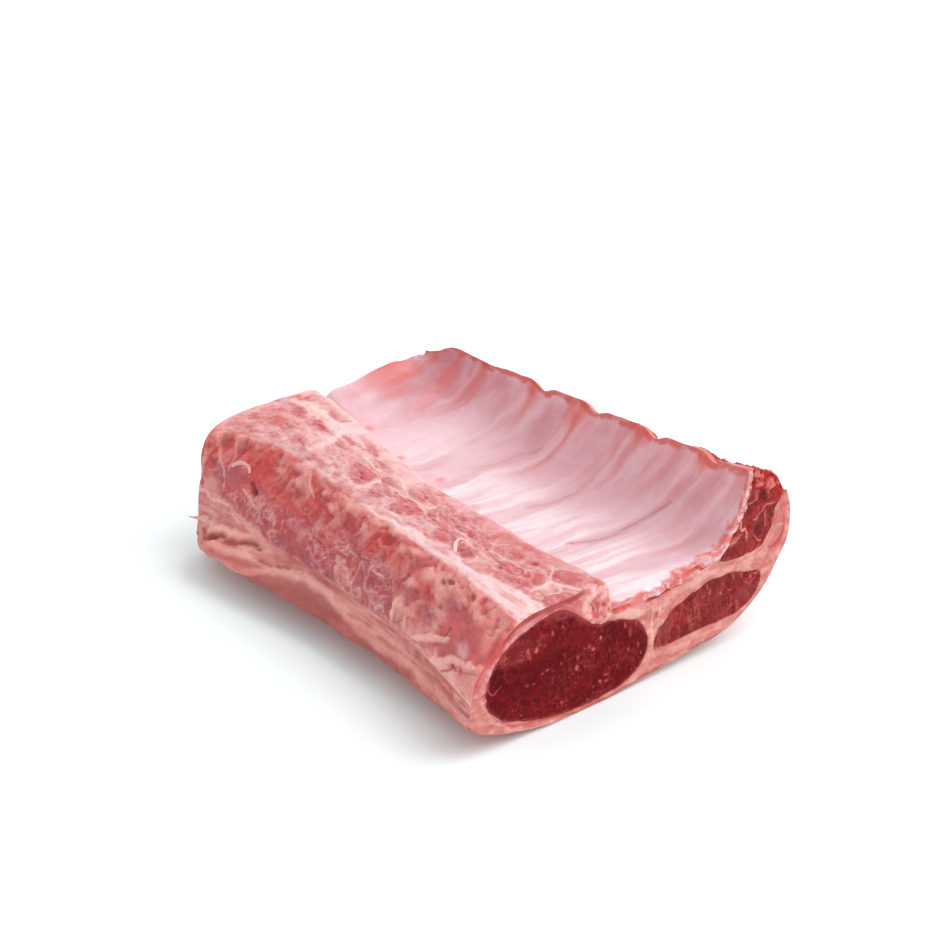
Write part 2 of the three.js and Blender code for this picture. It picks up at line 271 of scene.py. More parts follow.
# ------------------------------------------------------- lines of the section, sampled

CHINE_LINE, CHINE_LENGTH = spline(CHINE_OUTSIDE)
FAT_LINE, FAT_LENGTH = spline(FAT_OUTSIDE)
PLEURA_LINE, PLEURA_LENGTH = spline(PLEURA)
WALL_SPAN = PLEURA_LENGTH[-1]
LEFT_FOOT = spline(FAT_OUTSIDE[:7])[1][-1]      # s where the chine face starts over the fat
EYE_EDGES = (spaced(EYE_TOP, 0.4)[0], spaced(EYE_BOTTOM, 0.4)[0])
OTHER_EDGES = (spaced(RIB_CAP, 0.4, closed=True)[0], spaced(FLANK_OUTSIDE, 0.4)[0])

# --------------------------------------------- growth of the section along the length

# how far the middle of the chine face and its ridge stand back, by Y
recess_middle = along([[0, 0], [20, 5], [45, 10], [90, 12.5], [132, 12.5], [155, 12], [LENGTH, 11.5]])
recess_ridge = along([[0, 0], [20, 3], [45, 6.5], [90, 9], [132, 13], [155, 9], [LENGTH, 0]])
# shares of its height that the wall or the shelf, and what lies below them, gain by the back cut, by X
gain_on_top = along([
    [0, 0.16], [18, 0.19], [34, 0.24], [44, 0.24], [52, 0.22], [57, 0.34], [63, 0.53], [80, 0.56],
    [98, 0.54], [106, 0.44], [111, 0.29], [114, 0.17], [118, 0.02], [124, -0.05], [131, -0.12], [141, -0.12],
])
gain_below = along([[0, 0.16], [45, 0.22], [85, 0.42], [120, 0.12], [141, 0.04]])


def chine_recess(x, y, z):
    """How far the chine face stands back behind its place at the front cut."""
    ledge = mix(*LEDGE_HEIGHT, ease(y, *LEDGE_SPAN)) - LEDGE_SINK * ease(y, *SINK_SPAN)
    foot = mix(ease(z - ledge, 0, LEDGE_SLOPE), ease(z, *DEEP_BAND), ease(x, *DEEP_FROM))
    depth = mix(recess_middle(y), recess_ridge(y), ease(z, *RIDGE_BAND))
    return foot * fade(x, *RECESS_FADE) * depth


def height_gain(x, y, z):
    """Share of its front height that a place gains by y."""
    t = np.maximum(y, 0) / LENGTH
    valley = ease(x, *VALLEY_FROM) * fade(x, *VALLEY_TO)
    near_wall = ease(z - WALL_SLOPE * np.maximum(0, x - WALL_FOOT), *TOP_BAND)
    return mix(t**SHELF_POWER, t**VALLEY_POWER, valley) * mix(gain_below(x), gain_on_top(x), near_wall)


def rib_phase(across, y):
    """Furrow number at a place on the wall, a whole number in each furrow between two ribs."""
    fanned = np.asarray(across, float) ** FURROW_BEND
    lines = [mix(shelf, rim, fanned) for shelf, rim in FURROWS]
    return sum(np.clip((y - a) / (b - a), 0, 1) for a, b in zip(lines, lines[1:]))


def scallop(y):
    """Waves of the rim, with a narrow dip at each furrow and a crest a third of the way on."""
    turn = 2 * np.pi * rib_phase(1.0, y + DIP_AHEAD)
    wave = 0.25 * np.sin(turn) - 0.5 * np.cos(turn) - 0.3 * np.cos(2 * turn) - 0.1 * np.cos(3 * turn)
    return SCALLOP * mix(1, SCALLOP_BACK, ease(y, *SCALLOP_FADE)) * wave * fade(y, *WAVE_END)


def grown(x, y, z):
    """A place in the front outline carried along y, taken to its real place: the height grows with y,
    the chine side stands back, the brow of the shelf moves out and the back cut leans."""
    settled = ease(y, 0, SETTLE_LENGTH)
    lifted = np.maximum(0, np.minimum(x, FLAT_TO) - FLAT_FROM) * FLAT_SLOPE * fade(x, *LIFT_FADE)
    laid = z - lifted * settled * np.maximum(0, 1 - (z - lifted) / LIFT_DEPTH)
    sag = FOOT_DROP * ease(y, *FOOT_SPAN) * fade(z, *FOOT_BAND) * fade(x, *FOOT_FADE)
    wave = scallop(y) * ease(x, *WAVE_X) * ease(z, *WAVE_BAND)
    fall = EDGE_FALL * ease(y, *FALL_SPAN) * ease(x, *FALL_X) * ease(z, *FALL_BAND)
    sink = WAVE_SINK * ease(y, *WAVE_END) * ease(x, *WAVE_X) * ease(z, *SINK_BAND)
    height = laid * (1 - sag) * (1 + height_gain(x, y, z)) + wave - fall - sink
    widening = ease(y, *SPREAD_SPAN) * ease(x, SPREAD_FROM, SHELF_EDGE) * fade(x, *SPREAD_FADE)
    waist = ease(y, *WAIST_SPAN) * ease(x, *WAIST_FROM) * fade(x, *WAIST_TO) * ease(z, *WAIST_BAND)
    lean = BACK_LEAN * (y / LENGTH) * (1 - height / LEAN_HEIGHT)
    across = x + SHELF_SPREAD * widening - SHELF_WAIST * waist + chine_recess(x, y, z)
    return np.stack([across, y + lean, height], -1)


def frame_place(points):
    """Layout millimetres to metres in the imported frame."""
    return CORNER + np.asarray(points) * MM


# ------------------------------------------------------------------- closed layers

# the shares that every point of a piece carries: deep is partly dark tissue and partly painted shade in
# hollows, gaps and underneath, and fat also carries painted highlights
TISSUES = ("fat", "warm", "film", "mauve", "blood", "deep")
LAYERS = ("mauve", "blood", "fat", "film", "deep")      # from the lean up, as the finish draws them
SHARP = math.radians(62)          # edges that turn more than this stay sharp
JITTER = 0.25                     # how far the points of a cut face are moved, as a share of their spacing
CLEARANCE = 0.55                  # and how far they keep from its rim
STRAND_BEND = 0.45                # how far a net's strands bend, as a share of its cells


def turning(loop):
    """Twice the area of a loop, positive when it runs anticlockwise."""
    after = np.roll(loop, -1, 0)
    return (loop[:, 0] * after[:, 1] - after[:, 0] * loop[:, 1]).sum()


def parts(array, size):
    """An array in parts of about that size, so that what is worked out from each stays small."""
    return np.array_split(array, max(1, len(array) // size))


def distance_to(places, line):
    """Distance from each place to the nearest point of a line."""
    least = np.full(len(places), np.inf)
    for part in parts(line, 40):
        least = np.minimum(least, np.linalg.norm(places[:, None] - part[None], axis=2).min(1))
    return least


def inside(points, loops):
    """True inside the loops, where a ray to the right crosses their edges an odd number of times."""
    crossings = np.zeros(len(points), int)
    for loop in loops:
        a, b = loop, np.roll(loop, -1, 0)
        for part in parts(np.arange(len(points)), 4000):
            px, pz = points[part, 0, None], points[part, 1, None]
            spans = (a[:, 1] > pz) != (b[:, 1] > pz)
            rise = np.where(b[:, 1] == a[:, 1], 1e-9, b[:, 1] - a[:, 1])
            crossings[part] += (spans & (px < a[:, 0] + (b[:, 0] - a[:, 0]) * (pz - a[:, 1]) / rise)).sum(1)
    return crossings % 2 == 1


def cut_face(loops, spacing):
    """Evenly spread points inside the loops, on rows of equilateral triangles, each moved a little, and the
    Delaunay triangles that join them to the loops' own points, which come first."""
    rim = np.concatenate(loops)
    low, high = rim.min(0), rim.max(0)
    rise = spacing * math.sqrt(0.75)
    x, z = np.meshgrid(np.arange(low[0], high[0], spacing), np.arange(low[1], high[1], rise))
    x = x + spacing / 2 * (np.arange(len(x)) % 2)[:, None]
    spread = np.stack([x.ravel(), z.ravel()], 1)
    spread += (np.stack([lattice(x, z, k).ravel() for k in (1, 2)], 1) - 0.5) * spacing * JITTER
    spread = spread[inside(spread, loops)]
    spread = spread[distance_to(spread, rim) > spacing * CLEARANCE]
    edges, start = [], 0
    for loop in loops:
        at = np.arange(len(loop))
        edges.append(np.stack([at, np.roll(at, -1)], 1) + start)
        start += len(loop)
    places = np.concatenate([rim, spread])
    joined = delaunay_2d_cdt(places.tolist(), np.concatenate(edges).tolist(), [], 0, 1e-7)
    triangles = np.array(joined[2])
    flat = np.array([tuple(v) for v in joined[0]])
    if len(flat) != len(places):
        raise ValueError("two points of a cut face coincide")
    a, b, c = (flat[triangles[:, k]] for k in range(3))
    turn = (b[:, 0] - a[:, 0]) * (c[:, 1] - a[:, 1]) - (b[:, 1] - a[:, 1]) * (c[:, 0] - a[:, 0])
    triangles[turn < 0] = triangles[turn < 0][:, ::-1]
    triangles = triangles[inside((a + b + c) / 3, loops) & (np.abs(turn) > 1e-9)]
    return spread, triangles


def place_points(mesh, points):
    """Puts a mesh's vertices at places of the layout."""
    mesh.vertices.foreach_set("co", frame_place(points).astype(np.float32).ravel())


def make_piece(name, points, faces, shares):
    """A mesh object from vertex places in the layout, groups of equal-sided faces, and tissue shares."""
    mesh = bpy.data.meshes.new(name)
    corners = np.concatenate([f.ravel() for f in faces])
    sides = np.concatenate([np.full(len(f), f.shape[1]) for f in faces])
    mesh.vertices.add(len(points))
    place_points(mesh, points)
    mesh.loops.add(len(corners))
    mesh.loops.foreach_set("vertex_index", corners.astype(np.int32))
    mesh.polygons.add(len(sides))
    mesh.polygons.foreach_set("loop_start", (np.cumsum(sides) - sides).astype(np.int32))
    mesh.update(calc_edges=True)
    mesh.shade_smooth()
    mesh.set_sharp_from_angle(angle=SHARP)
    for tissue, share in shares.items():
        attribute = mesh.attributes.new(tissue, "FLOAT", "POINT")
        attribute.data.foreach_set("value", np.clip(share, 0, 1).astype(np.float32))
    piece = bpy.data.objects.new(name, mesh)
    bpy.context.scene.collection.objects.link(piece)
    return piece


def normals_of(piece):
    """Unit normals at the vertices of a piece."""
    out = np.zeros(len(piece.data.vertices) * 3, np.float32)
    piece.data.vertex_normals.foreach_get("vector", out)
    return out.reshape(-1, 3).astype(float)


class Layer:
    """One layer of the joint: its outline at the front cut (points in order round it, anticlockwise seen
    from the front), carried along the length in equal rows and closed by a cut face at each end.
    `shown` says which outline points have a surface that shows, and `run` is their distance along it. The
    front cut's points lie `face` apart, and the back cut's `coarser` times as far."""

    def __init__(self, outline, run, shown, rows, face, coarser=1.6, holes=()):
        if turning(outline) < 0:
            outline, run, shown = outline[::-1], run[::-1], shown[::-1]
        loops = [outline, *[hole if turning(hole) < 0 else hole[::-1] for hole in holes]]
        rim = np.concatenate(loops)
        n, sides = len(rim), len(rim) * (rows + 1)
        front, front_faces = cut_face(loops, face)
        rear, rear_faces = cut_face(loops, face * coarser)
        self.rows = rows
        # the rim's points row by row, then those spread over the front cut and over the back one
        self.x, self.z = (np.r_[np.tile(rim[:, k], rows + 1), front[:, k], rear[:, k]] for k in (0, 1))
        self.y = np.r_[
            np.repeat(np.linspace(0, LENGTH, rows + 1), n), np.zeros(len(front)), np.full(len(rear), LENGTH)]
        own = np.r_[np.asarray(run, float), np.zeros(n - len(run))]
        self.run = np.r_[np.tile(own, rows + 1), np.zeros(len(front) + len(rear))]
        # which of them are painted as the side, and which as each cut
        seen = np.tile(np.r_[np.asarray(shown, bool), np.zeros(n - len(shown), bool)], rows + 1)
        row = np.repeat(np.arange(rows + 1), n)
        spread = np.arange(len(front) + len(rear))
        self.side = np.r_[seen, spread < 0]
        self.front = np.r_[~seen & (row == 0), spread < len(front)]
        self.rear = np.r_[~seen & (row == rows), spread >= len(front)]
        # quads between the rows, and the triangles of the two cuts
        start, quads = 0, []
        for loop in loops:
            at = start + np.arange(len(loop))
            ahead = start + np.roll(np.arange(len(loop)), -1)
            base = (np.arange(rows) * n)[:, None]
            corners = (at + base, at + base + n, ahead + base + n, ahead + base)
            quads.append(np.stack(corners, -1).reshape(-1, 4))
            start += len(loop)
        at_front = np.r_[np.arange(n), sides + np.arange(len(front))]
        at_rear = np.r_[rows * n + np.arange(n), sides + len(front) + np.arange(len(rear))]
        self.faces = [np.concatenate(quads), at_front[front_faces], at_rear[rear_faces][:, ::-1]]

    def piece(self, name, skins):
        """The finished mesh. Each skin is (which vertices, Skin): its relief moves them along their
        normals, and its tissue shares become attributes."""
        points = grown(self.x, self.y, self.z)
        relief = np.zeros(len(points))
        shares = {tissue: np.zeros(len(points)) for tissue in TISSUES}
        for where, skin in skins:
            relief[where] = skin.relief
            for tissue in TISSUES:
                shares[tissue][where] = skin.share[tissue]
        piece = make_piece(name, points, self.faces, shares)
        place_points(piece.data, points + normals_of(piece) * relief[:, None])
        piece.data.update()
        return piece


def blurred(grid, reach):
    """Mean of a grid over a square window that reaches so many rows and columns to each side."""
    span = 2 * reach + 1
    for axis in (0, 1):
        ends = [(reach + 1, reach) if k == axis else (0, 0) for k in (0, 1)]
        total = np.cumsum(np.pad(grid, ends, mode="edge"), axis)
        at = np.arange(grid.shape[axis])
        grid = (np.take(total, at + span, axis) - np.take(total, at, axis)) / span
    return grid


def paint_relief_light_and_shade(layer, skin, reach, dark, light):
    """Painted shade and highlight: bares and darkens what lies lower than the mean height round it as painted
    shade, and lays pale fat on what is higher as a painted highlight.
    """
    grid = skin.relief.reshape(layer.rows + 1, -1)
    sunk = (blurred(grid, reach) - grid).ravel()
    skin.lay("lean", dark * ease(sunk, 0, 0.5))
    skin.lay("deep", dark * 0.6 * ease(sunk, 0.05, 0.6))
    skin.lay("fat", light * ease(-sunk, 0.05, 0.5))


def clear_of_cuts(y):
    """1 along a side, easing to 0 at both cuts, where its relief has to end."""
    return ease(y, -0.5, 1.5) * fade(y, LENGTH - 1.5, LENGTH)


class Skin:
    """Tissue shares and relief painted over a surface whose places are (u, v) in millimetres. Smooth noise
    shifts the places first, so that every painted edge is ragged."""

    def __init__(self, u, v, seed, ragged, fat=0.0):
        self.u, self.v = (
            line + rough(u / 5, v / 5, own) * ragged + noise(u / 1.1, v / 1.1, own + 5) * (ragged * 0.35)
            for line, own in ((u, seed), (v, seed + 50)))
        self.true_v, self.seed = v, seed
        self.share = {tissue: np.zeros(len(u)) for tissue in TISSUES}
        self.share["fat"][:] = fat
        self.relief = np.zeros(len(u))

    def lay(self, tissue, mask, relief=0.0, at=slice(None)):
        """Lays a tissue over what is there, so that it hides its share of what the finish draws above it.
        Lean is what shows where nothing else lies, so it only wipes."""
        above = LAYERS[LAYERS.index(tissue) + 1:] if tissue in LAYERS else ()
        for other in LAYERS if tissue == "lean" else above:
            self.share[other][at] *= 1 - mask
        if tissue != "lean":
            self.share[tissue][at] += (1 - self.share[tissue][at]) * mask
        self.relief[at] += relief * mask

    def around(self, u, v, half_u, half_v, turn):
        """The places near an oval, and how far each is from its middle as a share of its radius."""
        reach = max(half_u, half_v) * 1.4 + 1
        at = np.flatnonzero((np.abs(self.u - u) < reach) & (np.abs(self.v - v) < reach))
        du, dv = self.u[at] - u, self.v[at] - v
        c, s = math.cos(math.radians(turn)), math.sin(math.radians(turn))
        return at, np.hypot((du * c + dv * s) / half_u, (dv * c - du * s) / half_v)

    def spot(self, tissue, u, v, half_u, half_v, strength, turn=0.0, relief=0.0, soft=0.5):
        """An oval: 1 in its middle and 0 from its edge, easing over the soft share of its radius."""
        at, radius = self.around(u, v, half_u, half_v, turn)
        self.lay(tissue, strength * fade(radius, 1 - soft, 1 + soft * 0.3), relief, at)

    def lobe(self, u, v, half_u, half_v, strength, turn, mauve, border, relief):
        """A smooth domed lobe of lean, with a pale strand round it that comes and goes."""
        at, radius = self.around(u, v, half_u, half_v, turn)
        core = fade(radius, 0.8, 1.05)
        self.lay("lean", strength * core, 0, at)
        self.lay("mauve", mauve * core, 0, at)
        shown = ease(noise(self.u[at] / 3, self.v[at] / 3, self.seed + 8), -0.5, 0.3)
        self.lay("fat", border * shown * bell(radius - 1.04, 0.12), 0.2, at)
        self.relief[at] += relief * np.clip(1 - radius**2, 0, 1)

    def streak(self, tissue, path, width, strength, relief=0.0):
        """A band along a bent line: 1 in its middle, easing to 0 half a width away, thinner at both ends."""
        line, length = spline(path, fine=6)
        low, high = line.min(0) - width, line.max(0) + width
        at = np.flatnonzero((self.u > low[0]) & (self.u < high[0]) & (self.v > low[1]) & (self.v < high[1]))
        if not len(at):
            return
        u, v = self.u[at], self.v[at]
        best = np.full(len(at), np.inf)
        for k in range(len(line) - 1):
            (au, av), (bu, bv) = line[k], line[k + 1]
            du, dv = bu - au, bv - av
            t = np.clip(((u - au) * du + (v - av) * dv) / max(du * du + dv * dv, 1e-9), 0, 1)
            way = (length[k] + t * (length[k + 1] - length[k])) / length[-1]
            full = width / 2 * mix(0.25, 1, np.sqrt(np.maximum(4 * way * (1 - way), 0)))
            best = np.minimum(best, np.hypot(u - au - t * du, v - av - t * dv) / full)
        self.lay(tissue, strength * fade(best, 0.35, 1), relief, at)

    def marks(self, table):
        """Spots and streaks in the order of a table. A mark with a list of places is a streak."""
        for tissue, where, *rest in table:
            (self.streak if isinstance(where, list) else self.spot)(tissue, where, *rest)

    def mottle(self, tissue, scale, low, high, strength, seed, relief, stretch=1.0, mask=1.0):
        """Patches wherever smooth noise of the given scale passes from low to high."""
        field = rough(self.u / scale / stretch, self.v / scale, self.seed + seed, 4)
        self.lay(tissue, strength * mask * ease(field, low, high), relief)

    def net(self, tissue, size, width, strength, seed, relief, stretch=1.0, mask=1.0):
        """Soft strands along the borders of cells of the given size, which come and go with smooth noise."""
        seed += self.seed
        u, v = self.u / size / stretch, self.v / size
        u, v = u + rough(u, v, seed, 2) * STRAND_BEND, v + rough(u, v, seed + 9, 2) * STRAND_BEND
        near, after, _ = cells(u, v, seed)
        full = width / size * (0.7 + 0.4 * noise(u * 0.9, v * 0.9, seed + 4))
        shown = ease(noise(u * 0.6, v * 0.6, seed + 3), -0.6, 0.5)
        self.lay(tissue, strength * mask * shown * bell(after - near, full), relief)

    def bundles(self, size, light, dark, seed, relief, stretch=1.0, mask=1.0):
        """Rounded bundles of fibres: each its own tone, from darker to bloodier, with painted shade darkening
        the gaps between them.
        """
        u, v = self.u / size / stretch, self.v / size
        seed += self.seed
        bent = noise(u * 0.7, v * 0.7, seed) * 0.3, noise(v * 0.7, u * 0.7, seed + 7) * 0.3
        near, after, mark = cells(u + bent[0], v + bent[1], seed)
        self.lay("blood", light * mask * ease(mark, 0.45, 1))
        self.lay("deep", dark * mask * ease(0.45 - mark, 0, 0.45))
        # painted shade in the gaps where the domed bundles meet
        self.lay("deep", dark * mask * fade(after - near, 0.03, 0.22))
        self.relief += relief * mask * (0.5 - np.minimum(near, 1) ** 2)


# ------------------------------------------------------------- the chine side and shelf
#
# Places are (y, s): s is the distance in mm along the section's outline, from the underside up the
# sawn chine face, over the ridge, across the shelf to its brow and down the step to the ribs.

FOOT = 46.0                        # s of the foot of the chine face
RIDGE = 76.0                       # s of the ridge, where the shelf begins
BROW = 108.0                       # s of its brow, where the step begins
FASCIA_END = (78, 94)              # y over which the band of fascia along the ridge ends

# lobes of lean that show through the shelf's fat: y, s, half sizes, turn, strength, share of mauve
SHELF_LOBES = [
    (76.5, 89, 8.5, 8, 0, .8, .3), (66, 97, 3, 5.4, 10, .6, .5), (51, 88, 8, 5.6, -18, .8, .4),
    (50, 99.5, 6.4, 3.2, 5, .6, .3), (56.5, 104.6, 7.5, 2.1, 4, .75, 0), (41, 86, 4.6, 4.6, 0, 1, .6),
    (31, 102, 6.5, 4.6, -20, .5, .5), (20, 93.5, 10, 7.6, 0, .95, .6), (7.5, 104, 7.6, 3.6, 0, .6, .2),
    (1.5, 92.5, 4, 6, 0, .9, .5), (104, 90, 9.5, 8.6, 8, .8, .45), (90, 88, 5.4, 6.4, 0, .5, .4),
    (91, 99.5, 6, 4.4, 0, .5, .3), (105.8, 104.4, 5.4, 2.8, 0, .9, 0), (125, 100.5, 5, 5.6, 0, .7, .3),
    (143.5, 102.5, 4.4, 5, 0, .75, .3), (156.5, 102, 4, 5.6, 0, .7, .4), (159, 89, 9, 5.6, 0, .6, .1),
    (138.5, 84.5, 6, 3.8, -15, .9, .1), (148.5, 81, 3.8, 2.4, 0, .9, 0), (148, 92, 4.4, 4, 0, .6, .5),
    (168, 106, 3.6, 7, 8, 1, 0), (80, 103.5, 5.4, 3, 0, .6, .4), (117, 92, 3, 6, 12, .6, .3),
]
# small dark or red marks of the shelf: y, s, half sizes, tissue, strength
SHELF_MARKS = [
    (85.3, 93, 1.1, 1.6, "deep", .6), (75.5, 104, 1.3, 1.2, "blood", .8), (38, 95.5, 1.1, 1.1, "deep", .6),
    (26, 89, .8, .8, "deep", .7), (21.3, 103.6, 1.2, 1, "blood", .95), (101.5, 87.4, 1.3, 1, "deep", .9),
    (104, 89, 1, .7, "deep", .6), (40.5, 85, 3, 2.2, "deep", .4), (138.3, 84.4, 1.3, 1.5, "deep", .5),
    (63, 91, 1.4, 1.4, "blood", .7), (148, 81, 1.4, 1.2, "blood", .9), (120.5, 85.4, 2.4, 1, "deep", .4),
]
# strands and bands of the shelf: tissue, width, strength, places
SHELF_LINES = [
    ("fat", 1.1, .9, [(26.6, 99.5), (24, 98), (20, 97), (18, 94.5)]),
    ("fat", 1.2, .9, [(15, 105), (13, 100.5), (10, 98)]),
    ("fat", 2.4, .9, [(9.8, 88), (9.6, 93), (9.4, 98), (5.2, 97), (4.6, 91)]),
    ("fat", 1.6, .8, [(0, 101.5), (6, 99.4), (12, 98)]),
    ("fat", 2.2, .8, [(55.5, 96.4), (51, 95.5), (44, 96)]),
    ("fat", 1.8, .7, [(70, 96), (69, 101), (70.5, 106)]),
    ("fat", 2, .8, [(113, 101.5), (107, 101.6), (99, 100)]), ("fat", 2, .7, [(97, 97), (95, 91), (97, 84)]),
    ("film", 1.2, .7, [(120.5, 104), (119.6, 97), (121, 91)]),
    ("film", 1, .7, [(66, 101), (64, 96), (61, 91.5)]),
    ("fat", 5.4, .8, [(131, 82), (129.5, 90), (131, 98), (134, 106)]),
    ("fat", 4.6, .85, [(158, 106), (135, 106.4), (118, 106.2)]),
    ("fat", 3.6, .7, [(82, 98), (75, 97), (68, 97.6)]), ("fat", 4, .7, [(98, 80), (96, 87), (97, 95)]),
    ("blood", 1.1, .9, [(34, 76.2), (20, 76), (10, 76.3), (0, 76.6)]),
    ("deep", 1.4, .35, [(122.5, 86.5), (117, 85), (112, 82)]),
]


def paint_shelf(skin):
    """Milky pink tissue: domed lobes of lean in white fat and membrane, a web of fine strands, and a pale
    band of fascia along the front half of the ridge."""
    y, s = skin.u, skin.v
    on_shelf = ease(skin.true_v, RIDGE - .6, RIDGE + .8)
    width = mix(5.2, 10.5, fade(y, 6, 36)) + 1.2 * rough(y / 7, s / 9, skin.seed + 30, 2)
    fascia = on_shelf * fade(s, RIDGE + width - 1.4, RIDGE + width) * fade(y, *FASCIA_END)
    skin.lay("lean", on_shelf)
    skin.lay("mauve", on_shelf * .3)
    skin.lay("fat", on_shelf * .45)
    skin.share["warm"] *= 1 - on_shelf * .8
    skin.mottle("fat", 8, -.1, .7, .5, 33, .3, 1.4, on_shelf)
    skin.mottle("lean", 4.5, -.1, .7, .6, 3, -.1, 1.3, on_shelf)
    brow = on_shelf * ease(s, 100, 103.5) * ease(y, 12, 20) * fade(y, 74, 90)
    skin.lay("lean", brow * .45)
    for u, v, half_u, half_v, turn, strength, mauve in SHELF_LOBES:
        skin.lobe(u, v, half_u, half_v, strength * .85, turn, mauve * .4, .35, .5)
    skin.mottle("blood", 2.6, .35, .9, .4, 34, -.15, 1.6, on_shelf)
    skin.net("fat", 8, 1.6, .4, 31, .1, 1.5, on_shelf)
    skin.net("film", 3.4, .5, .4, 32, .05, 1.2, on_shelf)
    skin.net("fat", 1.9, .26, .35, 42, .05, 1.2, on_shelf)
    skin.mottle("film", 5, .3, .9, .4, 35, 0, 1.5, on_shelf)
    for tissue, width, strength, path in SHELF_LINES:
        skin.streak(tissue, path, width, strength, -.2 if tissue in ("deep", "blood") else .3)
    for u, v, half_u, half_v, tissue, strength in SHELF_MARKS:
        skin.spot(tissue, u, v, half_u, half_v, strength, 0, -.5)
    skin.lay("fat", fascia * .8, .3)
    streaks = rough(y / 12, s / 1.3, skin.seed + 71, 3)
    skin.lay("film", fascia * .7 * ease(streaks, -.3, .5), .1)
    skin.lay("mauve", fascia * .3 * ease(-streaks, .1, .7), -.05)
    for u, v, half in ((68, 80, 6), (47, 78.5, 6), (18, 84, 5), (75, 79.5, 5)):
        skin.spot("mauve", u, v, half, 1.6, .3, -6)
    skin.bundles(5, .1, .05, 77, .2, 1.3, on_shelf * (1 - fascia))
    skin.bundles(1.9, .1, .09, 78, .08, 1.4, on_shelf * (1 - fascia))
    veil = on_shelf * (.35 * ease(y, 96, 118) + .65 * ease(y, 74, 86) * ease(s, 99, 103))
    skin.lay("film", veil * .6 * ease(rough(y / 9, s / 4, 39, 3), -.5, .4), .1)
    skin.lay("fat", veil * .7 * ease(rough(y / 6, s / 5, 40, 3), -.2, .5), .15)
    skin.relief += on_shelf * rough(y / 5, s / 4, skin.seed + 75, 3) * .35
    skin.relief += on_shelf * rough(y / 1.4, s / 1.4, skin.seed + 76, 2) * .08


# lines and creases of the chine face: tissue, width, strength, relief, places
CHINE_LINES = [
    ("deep", .9, .45, -.6, [(84, 60), (70, 60), (67, 57.5), (62, 55.3)]),
    ("blood", 2.4, .7, -.3, [(126, 64), (116, 60.5), (104, 59)]),
    ("blood", 2.2, .7, -.4, [(112, 68), (105, 66.5), (98, 66)]),
    ("blood", 2.6, .6, -.3, [(100, 60), (92, 57.5), (85, 56)]),
    ("deep", .9, .35, -.4, [(108, 60), (100, 56.5), (92, 56)]),
    ("mauve", 3.4, .8, .4, [(18, 70), (15.5, 63), (16, 55)]),
    ("deep", 2, .4, -1.2, [(24, 54.5), (22.6, 57.5), (22.4, 60.5)]),
    ("deep", 1, .7, -1.2, [(20, 47), (16, 49.2), (13, 51.5)]),
    ("deep", .8, .35, -.7, [(13, 51.5), (7, 53.4), (1, 55.6)]),
    ("fat", 3.4, .85, .8, [(38, 49), (28, 53), (20, 57)]),
    ("fat", 3.6, .8, .7, [(30, 45.5), (22, 49), (14, 53.5), (2, 57)]),
    ("fat", 2.8, .85, .9, [(50, 57), (52, 50), (52, 44)]),
    ("fat", 2, .8, .6, [(45, 53), (43, 48), (42, 44)]),
    ("mauve", 1.2, .6, .3, [(158, 72), (157, 66), (158.4, 58), (157, 52)]),
    ("film", 1.1, .5, .2, [(162, 64), (158.4, 60), (156, 53)]),
    ("fat", 1.4, .6, .4, [(146, 57), (141, 55.5), (136, 54.5)]),
    ("deep", 2, .7, -1.2, [(144, 61), (142, 59), (138, 57.5)]),
    ("blood", 1.8, .8, -.3, [(43, 66.5), (39, 64), (35.5, 60.5)]),
    ("fat", 1.6, .4, .4, [(167, 75), (162.5, 66), (163, 58)]),
    ("fat", 1.6, .4, .4, [(160.4, 74), (157.4, 68), (156, 60)]),
    ("fat", 1.8, .4, .4, [(169, 72), (168.4, 64), (169, 56)]),
    ("fat", 1.6, .7, .6, [(70, 60.6), (66, 58.6), (61, 59)]),
    ("fat", 1.6, .8, .7, [(120, 75), (117, 70), (112, 68)]),
]
# stains and pits of the chine face: y, s, half sizes, turn, tissue, strength, relief
CHINE_SPOTS = [
    (148, 69, 11, 4.4, 0, "blood", .8, -.3), (136, 65, 6.5, 4, 0, "blood", .7, -.2),
    (152, 60.6, 8, 4.4, 0, "mauve", .8, .1), (1.2, 68, 1.6, 9, 0, "blood", .9, -.2),
    (6, 75, 5, 1.8, 0, "blood", .5, 0), (20, 76, 9, 1.1, 0, "blood", .45, 0),
    (22, 66, 5, 4, 30, "mauve", .6, 0), (12, 58, 4, 3, 0, "film", .4, .2),
    (38, 58, 4, 3, 0, "mauve", .5, -.3), (105, 71, 3.5, 2.2, 0, "blood", .7, -.4),
    (116, 72, 5, 2.6, 0, "blood", .75, -.4), (131, 75.6, 2.4, 2, 20, "blood", .85, -.2),
    (142, 75.6, 3.5, 1.8, 0, "blood", .6, 0), (69, 71.6, 4.4, 2.1, -12, "blood", .7, -.9),
    (58.5, 67, 4.6, 2.6, -25, "blood", .6, -.8), (39, 65, 4, 4, 0, "blood", .7, -.7),
    (33.5, 72.4, 2.4, 1.3, 0, "deep", .8, -1.2), (36.4, 70.6, 1.1, .9, 0, "deep", .6, -.6),
    (22, 73, 1.2, 1, 30, "deep", .8, -.9), (48, 49.5, 1.6, 1, -20, "deep", .5, -.9),
    (14, 51.3, .9, .7, 0, "deep", .8, -.9), (140.6, 57.8, 2.6, 1.2, 20, "deep", .8, -1.2),
    (163.4, 61.5, 2, 3, 10, "deep", .45, -.9), (163, 73, 2, 3, 20, "deep", .45, -1),
    (156, 70.5, 2.4, 3.6, 0, "deep", .3, -.7), (127, 51, 2.6, 2.2, 0, "mauve", .9, -.7),
    (117, 49.4, 4, 2.6, 0, "mauve", .9, -.5), (103.5, 48.6, 4.4, 3.2, 0, "mauve", .9, -.6),
    (88, 48, 4, 2.6, 0, "mauve", .9, -.5), (52, 70, 4, 3, 0, "mauve", .7, .3),
    (28, 66, 5, 4, 0, "mauve", .7, .3), (33, 57.5, 5, 3.6, -30, "mauve", .7, -.4),
    (46, 60, 4, 4, 0, "mauve", .8, -.4), (9, 63, 4, 5, -12, "mauve", .5, .4),
]
